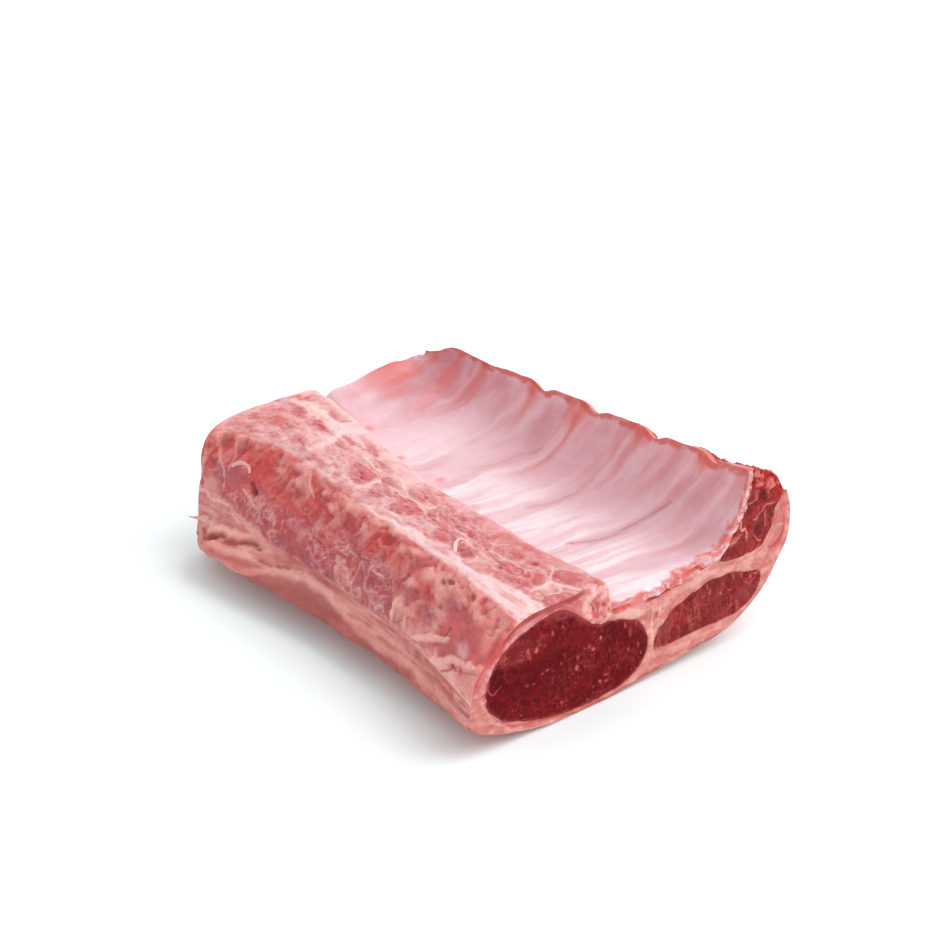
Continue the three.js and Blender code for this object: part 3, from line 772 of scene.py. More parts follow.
# cream lumps that stand proud: y, s, half sizes, turn, strength, relief
CHINE_LUMPS = [
    (68, 75, 3.4, 1.8, 0, .9, .9), (60, 71.6, 3.8, 2.2, -20, .8, .9), (54.6, 73.4, 3.4, 2, 0, .8, .9),
    (45, 69, 3.4, 3, 0, .7, .9), (49, 63.5, 3.2, 2.2, 20, .9, 1), (78, 74.6, 4, 2, 0, .9, .8),
    (51, 54.6, 3.6, 3, 10, .9, 1.1), (29, 61, 4.4, 3, 0, .5, .7), (5, 66, 3.6, 6, -12, .5, .7),
    (92, 74, 7, 2.6, -4, .85, .8), (108.8, 71.6, 2, 1.4, 0, 1, .8), (126, 73.6, 5, 2.4, 0, .8, .7),
    (137, 72.4, 4.4, 2, 0, .6, .5), (155, 76, 8, 1.8, 4, .8, .6), (162, 53, 7, 4.5, 0, .7, .4),
    (35, 51, 5, 3, 0, .6, .8),
]


def paint_chine_face(skin):
    """Ragged sawn and torn meat below the ridge: coral and mauve lean in rounded bundles, soft pale strands,
    a fringe of cream lumps hanging from the ridge, and a smooth cream foot with long lines."""
    y, s, face = skin.u, skin.v, fade(skin.true_v, RIDGE - 1.5, RIDGE + .5)
    front = fade(y, 42, 56) * face
    beyond = face - front
    low = fade(s + .08 * (y - 100), 57, 66)
    skin.lay("warm", face * .65)
    skin.lay("blood", beyond * (.36 + .21 * ease(y, 90, 140)))
    skin.mottle("blood", 7, -.1, .7, .6, 22, -.2, 1.6, beyond)
    skin.lay("mauve", beyond * low * .7)
    skin.mottle("mauve", 6, -.1, .7, .6, 24, 0, 1, face)
    skin.lay("fat", front * .2)
    skin.lay("blood", front * .12)
    skin.mottle("fat", 7, 0, .7, .7, 21, .9, 1.5, front)
    skin.bundles(7, .25, .1, 10, .9, .5, beyond * ease(s, 56, 64))
    skin.bundles(5.4, .2, .08, 13, .6, 1.2, face * (1 - .5 * ease(s, 58, 64)))
    skin.bundles(2.4, .2, .06, 12, .15, 1, face)
    skin.mottle("fat", 5, .3, .9, .3, 25, .25, 1.2, beyond)
    fingers = rough((y + .3 * s) / 3.4, s / 11, skin.seed + 41, 3)
    hanging = beyond * ease(s, 57, 66)
    skin.lay("fat", hanging * .3 * ease(fingers, .1, .7), .4)
    skin.lay("mauve", hanging * .4 * ease(-fingers, .1, .6), -.3)
    skin.lay("deep", hanging * .16 * ease(-fingers, .4, .9), -.2)
    skin.net("fat", 7, 1.1, .55, 11, .15, 1.2, beyond * (.3 + .7 * low))
    skin.net("fat", 3.6, .6, .5, 14, .1, 1.1, beyond * (.3 + .7 * low))
    skin.net("film", 2.2, .4, .3, 26, .04, 1, beyond * low)
    bent = .3 * rough(y / 4, s / 4, 29, 2), .3 * rough(s / 4, y / 4, 35, 2)
    near, after, mark = cells(y / 4.4 + bent[0], s / 5 + bent[1], 36)
    fringe = ease(s + 7 * (mark - .5) + 2.4 * rough(y / 9, s / 9, skin.seed + 18, 3), 69.6, 72.6)
    edge = fringe * fade(skin.true_v, RIDGE - 1, RIDGE + 3)
    skin.lay("fat", edge * (.5 + .3 * ease(rough(y / 4, s / 4, 37, 2), -.4, .3)), .2)
    skin.lay("warm", edge * .4)
    skin.lay("blood", edge * .4 * fade(after - near, .02, .3))
    skin.lay("lean", edge * .15)
    skin.mottle("lean", 3, 0, .7, .6, 38, -.15, 1, edge)
    skin.relief += edge * .6 * (.7 - np.minimum(near, 1) ** 2)
    for u, v, half_u, half_v, turn, strength, relief in CHINE_LUMPS:
        skin.spot("fat", u, v, half_u, half_v, strength * .7, turn, relief, .8)
    for u, v, half_u, half_v, turn, tissue, strength, relief in CHINE_SPOTS:
        skin.spot(tissue, u, v, half_u, half_v, strength * (.7 if tissue == "blood" else 1), turn, relief)
    for tissue, width, strength, relief, path in CHINE_LINES:
        skin.streak(tissue, path, width, strength, relief)
    gritty = rough(y / 1.5, s / 1.5, skin.seed + 19, 2) * .08
    skin.relief += face * (rough(y / 6, s / 4, skin.seed + 15, 3) * .6 + gritty)
    brim = s + 1.4 * rough(y / 8, s / 3, skin.seed + 28, 2) + 3.6 * ease(y, 45, 70) * fade(y, 118, 140)
    foot = face * fade(brim, 48.6, 51)
    lines = rough(y / 20, s / 1.1, skin.seed + 20, 3)
    skin.lay("fat", foot * .8, .3)
    skin.lay("lean", foot * .55 * ease(lines, .05, .6) * ease(y, 20, 50), -.2)
    skin.lay("mauve", foot * .42 * ease(y, 30, 60) * fade(y, 115, 140))


def paint_chine_side(layer):
    """The skin of the chine strip's outside, face, shelf and step."""
    y, s = layer.y[layer.side], layer.run[layer.side]
    skin = Skin(y, s, 3, .55)
    paint_chine_face(skin)
    paint_shelf(skin)
    step = ease(skin.true_v, BROW + 1, BROW + 6)
    skin.lay("film", step * .5)
    skin.lay("fat", step * .6)
    # painted shade in the hollows and painted highlight on the crests of the relief, at two sizes
    paint_relief_light_and_shade(layer, skin, 3, .3, .1)
    paint_relief_light_and_shade(layer, skin, 9, .18, .06)
    foot_of_step = skin.true_v.max()
    skin.relief *= ease(skin.true_v, FOOT, FOOT + 2) * fade(skin.true_v, foot_of_step - 6, foot_of_step - 2)
    skin.relief *= clear_of_cuts(y)
    return layer.side, skin


# ---------------------------------------------------------------------- the rib wall
#
# Places are (y, run): run is the distance in mm from the step to the rim. The tables give it as across, its
# share of the wall's own width.

# red patches and stains of the membrane: tissue, y, across, half size mm, half share, strength
WALL_STAINS = [
    ("blood", 166, .45, 8, .3, .55), ("blood", 156, .4, 5, .16, .5), ("blood", 164, .88, 6, .12, .6),
    ("mauve", 164, .14, 5, .1, .5), ("blood", 102, .16, 2.2, .04, .6), ("blood", 122.5, .09, 1.8, .04, .7),
    ("blood", 144, .07, 2, .04, .6), ("blood", 80, .14, 3, .04, .4), ("mauve", 123, .93, 7, .1, .45),
    ("blood", 106, .95, 4, .05, .7), ("deep", 40.5, .27, .9, .012, .6), ("blood", 20, .98, 3.4, .08, .9),
    ("blood", 50, .98, 5, .08, .9), ("blood", 84, .92, 3, .1, .6),
]

# long dark creases of the membrane: width in mm, strength, and the path as (y, across)
WALL_CREASES = [
    (1.7, .28, [(42, .25), (38, .33), (34.5, .42), (34, .55), (32.5, .64), (28, .74)]),
    (1.6, .2, [(69, .33), (65.5, .44), (64, .54), (62, .68)]),
    (1.6, .14, [(101, .34), (98, .46), (95, .6), (90, .7)]),
]


def paint_wall_top(layer):
    """Membrane over the ribs: near white in the valley and pink to mauve up the wall, partly its own colour
    and partly painted light in the valley and painted shade on the slope, and red at the rim. Long streaks
    follow the ribs, the furrows between are redder, and the ribs show grey-mauve near the rim."""
    y, run = layer.y[layer.side], layer.run[layer.side]
    across = run / WALL_SPAN
    skin = Skin(y, run, 19, .3)
    at = skin.v / WALL_SPAN
    phase = rib_phase(across, skin.u + .8 * rough(skin.u / 9, run / 14, 93, 2))
    furrow = np.round(phase)
    off = phase - furrow + .05 * rough(skin.u / 8, at * 6, 94, 2)
    level = .3 + .7 * lattice(furrow, 0, 5)
    rib = .5 - .5 * np.cos(2 * np.pi * phase)
    # whiter in the valley and mauver up the slope: partly the membrane's own colour, partly painted light in
    # the valley and painted shade on the slope
    valley = ease(at, -.05, .06) * fade(at, .3, .72) * (1 - ease(skin.u, 104, 150) * .65)
    rising = ease(at, .34, .92)
    broad = rough(phase * 4.2, at * 1.2, skin.seed + 1, 3)
    lines = rough(phase * 8, at * 2, skin.seed + 4, 3)
    fine = rough(phase * 30, at * 3, skin.seed + 7, 2)
    skin.lay("mauve", .24 + .14 * rising)
    skin.lay("blood", .1 + .16 * rising)
    skin.lay("blood", .35 * ease(broad, .1, .8) * (.2 + .8 * rising))
    skin.lay("film", .74 - .04 * rising)
    skin.lay("fat", valley * (.45 + .5 * ease(broad, -.5, .4)))
    skin.lay("mauve", .3 * valley * ease(-lines, .1, .7), -.05)
    skin.lay("mauve", .35 * rising * ease(-broad, 0, .7))
    clouds = rough(phase * 3.4, at * 5, skin.seed + 11, 4)
    skin.lay("mauve", .4 * rising * ease(clouds, .05, .8))
    skin.lay("film", .46 * ease(-clouds, .05, .7))
    skin.lay("blood", .3 * rising * ease(rough(phase * 6, at * 3.4, skin.seed + 14, 3), .15, .8))
    on_rib = (.35 + .65 * ease(rib, .1, .8)) * (1 - .7 * ease(skin.u, 115, 150))
    skin.lay("fat", .22 * ease(lines + .5 * broad, .1, 1) * on_rib, .03)
    skin.lay("film", .12 * ease(fine, .1, .8))
    window = ease(rib, .3, .85) * ease(at, .6, .8) * fade(at, .92, .975)
    window *= ease(lattice(furrow + (off > 0), 0, 9), 0, .4)
    skin.lay("mauve", .32 * window)
    reach = ease(at + .12 * broad, .38, .85)
    soft = bell(off, .15 + .06 * lines)
    skin.lay("lean", .4 * soft * reach * level)
    skin.lay("blood", .75 * soft * ease(at + .3 * lines, .55, 1) * level)
    skin.lay("blood", .35 * bell(off, .06) * ease(at + .3 * broad, .45, .8) * level, -.06)
    skin.lay("deep", .12 * bell(off, .03) * ease(at + .3 * lines, .5, .9) * level, -.06)
    # a pale line just past each furrow: partly a cream line of the membrane and partly a painted highlight
    skin.lay("fat", .4 * bell(off - .13, .05) * ease(at, .3, .6) * fade(at, .9, 1), .1)
    # darker and mauver towards the back cut: partly the membrane's own colour and partly painted shade
    back = ease(skin.u, 122, 156) * ease(at, .26, .55)
    skin.lay("mauve", back * .85)
    skin.lay("lean", back * ease(broad, -.5, .7) * .6)
    skin.lay("blood", back * .5 * ease(clouds, -.1, .6))
    skin.lay("blood", back * .25 * ease(lines, 0, .7))
    skin.lay("film", back * .22 * ease(-lines, .2, .8))
    for tissue, u, a, half, share, strength in WALL_STAINS:
        skin.spot(tissue, u, a * WALL_SPAN, half, share * WALL_SPAN, strength, 0, 0, .9)
    for width, strength, path in WALL_CREASES:
        path = [(u, a * WALL_SPAN) for u, a in path]
        skin.streak("mauve", path, 4 * width, 1.3 * strength, -.1)
        skin.streak("deep", path, width, strength, -.1)
    near_step = fade(across + .01 * broad, .01, .05)
    skin.lay("blood", near_step * .3)
    ragged = rough(y / 3.6, run / 2.6, 97, 3)
    rim = ease(run + 1.3 * ragged, WALL_SPAN - 3, WALL_SPAN - .8)
    skin.lay("lean", rim * .95)
    skin.lay("warm", rim)
    skin.lay("deep", rim * (.24 + .3 * ease(y, 115, 140)))
    skin.lay("blood", rim * (.45 + .3 * soft + .3 * ease(ragged, -.2, .5)), .2)
    skin.lay("fat", rim * .4 * ease(-ragged, .2, .8), .25)
    skin.lay("deep", .35 * rim * bell(off, .08) * level, -.2)
    hem = fade(y + 1.6 * rough(run / 2.4, y / 3, 95, 3), .9, 2.6)
    torn = rough(run / 1.7, y / 1.7, 96, 3)
    skin.lay("lean", hem * .85, -.2)
    skin.lay("warm", hem * .7)
    skin.lay("blood", hem * .6 * ease(torn, -.3, .4), -.3)
    skin.lay("fat", hem * .6 * ease(-torn, .1, .6), .3)
    ridge = -np.cos(2 * np.pi * rib_phase(across, y)) * RIB_RELIEF * .5
    skin.relief += ridge * ease(across, 0, .12) * (1 - .4 * ease(across, .8, 1))
    skin.relief += rough(y / 7, run / 12, 91, 3) * .25 + broad * .14
    skin.relief *= ease(run, 0, 1)
    # painted shade in the hollows and painted highlight on the crests of the relief
    paint_relief_light_and_shade(layer, skin, 5, .25, .2)
    return layer.side, skin


def away_from(x, z, *lines):
    """Distance from each place to the nearest of the points on some lines."""
    return distance_to(np.stack([x, z], 1), np.concatenate(lines))


# ------------------------------------------------------------------------ the cut faces
#
# Places are (X, Z) in the section's own outline.

# flecks of fat in the loin eye: x, z, half sizes, turn, strength
EYE_FLECKS = [
    (26.2, 29.2, .7, 1.2, 20, .95), (23, 29.8, .6, 1.1, 15, .7), (32.8, 32.6, .5, 1.2, 20, .7),
    (37, 33, .5, .6, 0, .8), (23.6, 27.3, .4, .9, 25, .6), (30.6, 20.2, .8, .6, 20, .85),
    (28.4, 19.8, .8, .5, 0, .6), (36.3, 20.7, .5, .6, 0, .6), (52.8, 23.6, .6, 1, 15, 1),
    (49.8, 20.5, .9, .7, 0, .85), (48, 22, .6, .9, 20, .6), (43, 16.7, .8, 1.1, 10, .9),
    (43.4, 20, .7, 1, 20, .6), (53.4, 8, .8, .7, 0, .7), (56, 9.6, 1.2, .5, -25, .6),
    (56.2, 7.2, .9, .7, 0, .6), (36.6, 6.4, .8, .4, -20, .7), (22.4, 18.2, 1, .5, -10, .6),
    (25.2, 17.6, .7, .5, -30, .6), (65.4, 15.2, .5, .7, -20, .8), (63.6, 24.3, .5, 1.5, 15, .7),
    (66, 21, .7, 2, 0, .6), (68.6, 23, .5, 1.6, 10, .7), (50.8, 6.6, .6, .5, 0, .6),
    (47, 33, 1.6, .7, -25, .9), (20.2, 8.6, .6, .4, 0, .6), (9.7, 28.2, .7, .5, 0, .6),
    (69.6, 15.2, .4, 1.6, 20, .7), (71, 11.4, .4, 1, 10, .6),
]
# broader marks of the eye: tissue, X, Z, half sizes, strength, turn and relief, or, with a list of places,
# tissue, places, width, strength and relief
EYE_MARKS = [
    ("deep", 10.5, 24.5, 3.4, 4.2, .6, 20, -.2),
    ("fat", [(9, 29), (7.5, 26), (7, 22.5), (9.5, 20), (12.5, 22)], .8, .7, .1),
    ("film", 38, 37.6, 9, 2.2, .5), ("fat", 44, 34.6, 6, 2.8, .35, -40), ("deep", 24, 16, 9, 5, .25),
    ("mauve", 68, 22.5, 4.6, 3.4, .5), ("fat", 74, 24, 2.4, 2, .5),
    ("deep", [(58, 26), (58.4, 23), (59.6, 20)], .8, .5),
    ("deep", [(64, 20), (64.4, 14), (63.6, 9)], 1.2, .4),
]


def paint_eye(x, z, seed, own):
    """Fine dark red muscle in rounded bundles, with flecks of fat; the front cut has its own marks."""
    skin = Skin(x, z, seed, .35)
    edge = away_from(x, z, *EYE_EDGES)
    broad = rough(x / 7, z / 7, seed + 1, 3)
    skin.lay("warm", .7)
    skin.lay("blood", .35 * ease(broad, -.2, .8))
    skin.bundles(3.4, .3, .3, 2, .15)
    skin.bundles(1.25, .42, .4, 3, .14)
    skin.lay("deep", .25 * ease(-broad, -.1, .7))
    skin.net("fat", 3.6, .5, .26, 4, .06)
    fleck = rough(x / .75 + z / 3, z / .95, seed + 7, 2)
    skin.lay("fat", .42 * ease(fleck, .6, .95) * ease(rough(x / 9, z / 9, seed + 8, 2), -.5, .5), .1)
    rind = fade(edge + .5 * rough(x / 2, z / 2, seed + 9, 2), .2, 1.3)
    skin.lay("mauve", rind * .6)
    skin.lay("film", rind * .4)
    if own:
        upper = fade(np.hypot((x - 19) / 12, (z - 31) / 5.4), .5, 1)
        skin.lay("mauve", .3 * upper)
        skin.lay("film", .12 * upper)
        skin.net("fat", 1.9, .45, .7, 5, .1, mask=upper)
        for u, v, half_u, half_v, turn, strength in EYE_FLECKS:
            skin.spot("fat", u, v, half_u * 1.1, half_v * 1.1, strength, turn, .12)
        skin.marks(EYE_MARKS)
    return skin


# flecks of fat in the rib cap, as for the eye
RIB_CAP_FLECKS = [
    (78, 10.5, 1.4, .6, -25, .9), (80.4, 10.2, 1.2, .4, 0, .6), (101, 25.2, .4, 1.6, 20, .7),
    (102.2, 23, .4, 1.2, 0, .5), (107.6, 20.4, .4, 1, 30, .6), (112.2, 20.2, .7, .4, 0, .6),
    (120.5, 20.4, 1.4, .3, -40, .6), (122.4, 22.4, .4, 1, 0, .6), (114, 24.6, .4, 1.4, 10, .5),
    (118, 24, .3, 1.2, 20, .5), (87, 20.6, .3, .7, 0, .5), (124.6, 22.8, 1.2, .3, -30, .7),
]
# and its stains, as for the eye
RIB_CAP_MARKS = [
    ("deep", 103, 25.6, 6, 2.4, .5), ("deep", 107, 16, 6, 4, .4, 30), ("deep", 90, 12.6, 6, 2.4, .3),
    ("mauve", 82, 17, 4, 5, .5), ("mauve", 121, 17, 6, 5, .4), ("deep", 127, 22.4, 1.2, 1, .5),
]


def paint_rib_cap(x, z, seed, own):
    """Red muscle in slanting bundles, with pale upright fibres between them."""
    skin = Skin(x, z, seed, .4)
    upright = rough(x / 1.5 + z / 9, z / 7, seed + 1, 3)
    skin.bundles(3.6, .4, .35, 2, .2, 1.5)
    skin.bundles(1.4, .4, .4, 3, .12, .7)
    skin.lay("fat", .2 * ease(upright, .1, .8), .08)
    skin.net("fat", 4, .45, .35, 5, .08, .6)
    skin.lay("mauve", .3 * ease(rough(x / 9, z / 9, seed + 4, 2), 0, .7))
    skin.lay("warm", .75)
    if own:
        for u, v, half_u, half_v, turn, strength in RIB_CAP_FLECKS:
            skin.spot("fat", u, v, half_u, half_v, strength, turn, .1)
        skin.marks(RIB_CAP_MARKS)
    return skin


# white branching lines of the flank muscle: width, strength, places
FLANK_LINES = [
    (.9, .95, [(116.4, 46), (115.4, 41.6), (117.6, 40.6), (119, 36.4)]),
    (.7, .7, [(115.4, 41.6), (114, 43.6), (115, 46)]),
    (1.1, .75, [(107.6, 40.6), (110.6, 40.4), (113, 44)]),
    (.9, .7, [(125.4, 45), (127.6, 47), (132, 46.6)]), (.7, .6, [(127.4, 45), (127.6, 41), (128, 39)]),
    (1, .6, [(117, 50), (122, 50), (124, 53)]), (.8, .6, [(122, 37.6), (125, 35.4), (127, 34.6)]),
    (.8, .5, [(119, 60), (122, 58.6), (125, 58)]), (.9, .5, [(124, 55.6), (127, 53.6), (130, 53)]),
    (.7, .5, [(111, 38), (113.6, 38.4), (115.4, 40)]), (1, .5, [(120.6, 43.4), (123.6, 43.6), (125, 45.4)]),
]
# and its stains, as for the eye
FLANK_MARKS = [
    ("deep", 120, 48, 4, 2.2, .6, 0, -.4), ("deep", 126, 50.4, 2, 2.2, .7, 0, -.4),
    ("deep", 130, 43, 1.6, 3.4, .6, 0, -.4), ("deep", 124, 39, 3, 2.4, .65, 0, -.4),
    ("deep", 112, 35, 5, 2, .4, 0, -.4), ("mauve", 120.6, 53, 3.4, 1.6, .7, -20),
    ("fat", 112, 38.6, 3.4, 1.6, .35), ("blood", 133, 51, 2.6, 2.8, .9),
]


def paint_flank(x, z, seed, own):
    """Coarse dark red muscle with white branching lines, bright and granular towards the rim."""
    skin = Skin(x, z, seed, .6)
    grain = rough(x / 1.9, z / 1.9, seed + 1, 3)
    high = ease(z + .25 * (x - 118), 50, 56)
    skin.bundles(4.4, .35, .5, 2, .5)
    skin.bundles(1.8, .4, .4, 3, .25)
    skin.lay("blood", .25 + .6 * high)
    skin.lay("fat", high * .7 * ease(grain, 0, .6), .6)
    skin.lay("deep", high * .5 * ease(-grain, .15, .7), -.5)
    skin.lay("fat", (1 - high) * .14 * ease(grain, .1, .8), .1)
    skin.lay("warm", .5 + .5 * high)
    skin.relief += high * grain * .6
    if own:
        for width, strength, path in FLANK_LINES:
            skin.streak("fat", path, width, strength, .2)
        skin.marks(FLANK_MARKS)
    return skin


# torn streaks and a pit of the wall's front edge
WALL_EDGE_MARKS = [
    ("blood", [(57, 31), (61, 30.6), (66, 30)], 2.6, .9, -.6),
    ("blood", [(72, 29.4), (80, 29.4), (86, 31.4)], 2, .9, -.6),
    ("blood", [(84, 32.4), (92, 33.4), (99, 33.6)], 2.4, .9, -.6),
    ("blood", [(96, 34), (99, 32), (101, 31)], 1.6, .9, -.6), ("deep", 59.4, 30.2, 1.6, .9, .5, 0, -.4),
]


def paint_wall_edge(x, z, seed, own):
    """The torn front edge of the rib wall: ragged red and pink layers with cream shreds."""
    skin = Skin(x, z, seed, .5, .3)
    skin.lay("warm", .6)
    layers = rough(x / 5, z / 1.1, seed + 1, 3)
    torn = rough(x / 1.8, z / 1.8, seed + 2, 3)
    skin.lay("blood", .7 * ease(layers, -.4, .4), -.4)
    skin.lay("fat", (.85 if own else .45) * ease(torn, .05, .5), .5)
    skin.lay("film", (.5 if own else .25) * ease(-layers, .2, .8), .2)
    if own:
        skin.marks(WALL_EDGE_MARKS)
    return skin


# slits and stains of the chine cut, as for the eye
CHINE_CUT_MARKS = [
    ("deep", 15, 38.5, 4, 2, .45, 40, -.3), ("deep", [(47.6, 37.4), (48.8, 36), (49.6, 34)], 1, .75, -.4),
    ("deep", 53.6, 34.5, 1.2, .6, .7, -20, -.4), ("mauve", 51, 36.6, 3.6, 2.4, .5, -20),
    ("mauve", 52, 31, 3.6, 2.4, .6, -10, .3),
    ("blood", [(46, 30.6), (49, 31.6), (51, 33.6), (50.6, 37)], .9, .6, -.3),
    ("fat", 47.4, 33, 2.4, .9, .95, -35, .4), ("fat", 45.6, 36.6, 1.4, 2.4, .7, 0, .3),
]


def paint_chine_cut(x, z, seed, own):
    """Translucent pink fascia round the loin eye, a red line under the shelf and a cream remnant of the
    backbone with dark slits."""
    skin = Skin(x, z, seed, .4, .45)
    edge = away_from(x, z, *EYE_EDGES)
    depth = away_from(x, z, CHINE_LINE)
    remnant = ease(x, 43, 49)
    layers = rough(edge / .8, (x + z) / 9, seed + 1, 3)
    skin.lay("warm", .4 + .4 * remnant)
    skin.lay("mauve", .45 * (1 - remnant))
    skin.lay("film", .2 * ease(layers, 0, .7) * (1 - remnant), .1)
    skin.lay("lean", .35 * ease(-layers, 0, .7) * (1 - remnant), -.1)
    pores = rough(x / 1.3, z / 1.3, seed + 6, 3)
    skin.lay("lean", .4 * ease(-pores, .1, .7), -.2)
    skin.lay("fat", .35 * ease(pores, .2, .8), .15)
    skin.lay("blood", .35 * fade(edge, .2, 1))
    skin.lay("fat", remnant * .7, .2)
    crag = rough(x / 1.7, z / 1.7, seed + 8, 3)
    skin.lay("lean", remnant * .55 * ease(-crag, .1, .6), -.5)
    skin.lay("film", remnant * .6 * ease(crag, .15, .7), .3)
    skin.mottle("blood", 3, 0, .7, .35, 3, -.1)
    skin.lay("blood", .9 * fade(depth + .4 * layers, 1, 2.6) * (1 - remnant) * ease(z, 22, 30), -.1)
    skin.lay("deep", .3 * fade(depth, .8, 2.2) * (1 - remnant) * ease(z, 34, 40), -.1)
    skin.lay("deep", .5 * ease(x, 14, 26) * bell(depth - 1.6, .7) * (1 - remnant), -.3)
    if own:
        skin.marks(CHINE_CUT_MARKS)
    return skin


# stains and long lines of the fat cut, as for the eye; the two dark lines along its bottom edge are painted
# shade
FAT_CUT_MARKS = [
    ("blood", [(138, 36), (136.4, 32), (132.6, 30), (130, 30.6)], 2.4, .8, -.3),
    ("blood", [(137.6, 40), (137.8, 36)], 2.2, .5, -.1), ("blood", 77.4, 23.4, .9, 1.8, .9, 10, -.3),
    ("deep", 69, 23.4, 1.6, 1.2, .5, 0, -.3), ("mauve", 74.6, 24, 2.4, 3, .6),
    ("film", 66, 27.6, 8, 2, .8, -14, .2), ("film", 98, 29.6, 10, 1.6, .6, 4, .2),
    ("blood", [(5.8, 21), (7.2, 16), (10.6, 10.6), (16, 7)], .8, .6, -.3),
    ("film", [(4.6, 20), (6.4, 14.6), (9.6, 10), (16, 6)], 1.2, .6, .2), ("mauve", 8, 14, 2.4, 5, .5, 30),
    ("blood", [(12, 8), (20, 5.4), (30, 3), (40, 1.4), (56, 1)], 1.4, .6, -.1),
    # painted shade: two dark lines along the bottom edge of the cut, where the fat turns under towards the
    # floor
    ("deep", [(34, .8), (46, .3), (56, .4), (70, 2), (84, 3.2)], 1.2, .5),
    ("deep", [(93, 4), (100, 4.6), (108, 5)], 1.2, .5),
]


def paint_fat_cut(x, z, seed, own):
    """Pink fat in faint layers that follow the muscles, reddened where it meets them."""
    skin = Skin(x, z, seed, .35, .75)
    near = away_from(x, z, *EYE_EDGES, *OTHER_EDGES)
    layers = rough(near / .9, (x - z) / 12, seed + 1, 3)
    soft = rough(x / 9, z / 3, seed + 2, 3)
    skin.lay("warm", .6 + .3 * soft)
    skin.lay("film", .25 * ease(layers, 0, .8), .05)
    skin.lay("lean", .3 * ease(-layers, .05, .8), -.08)
    skin.lay("lean", .14)
    skin.lay("mauve", .3 * ease(soft, 0, .8))
    skin.lay("lean", .5 * fade(near + .3 * soft, .1, .9))
    skin.net("blood", 5, .4, .3, 5, -.1, 2.4)
    coarse = rough(x / 4, z / 2.2, seed + 6, 4)
    skin.lay("lean", .35 * ease(-coarse, .05, .7))
    skin.lay("film", .45 * ease(coarse, .15, .8))
    skin.relief += coarse * .3
    column = fade(np.abs(x - 76.5), 2, 5) * ease(z, 7, 11) * fade(z, 25, 28)
    upright = rough(x / .9, z / 6, seed + 7, 3)
    skin.lay("film", .7 * column * ease(upright, 0, .6), .3)
    skin.lay("mauve", .5 * column * ease(-upright, 0, .6), -.2)
    if own:
        skin.marks(FAT_CUT_MARKS)
    return skin


# --------------------------------------------------------------------------- outer fat
#
# Places are (y, s) on the same line round the section as the chine side, with s below FOOT.


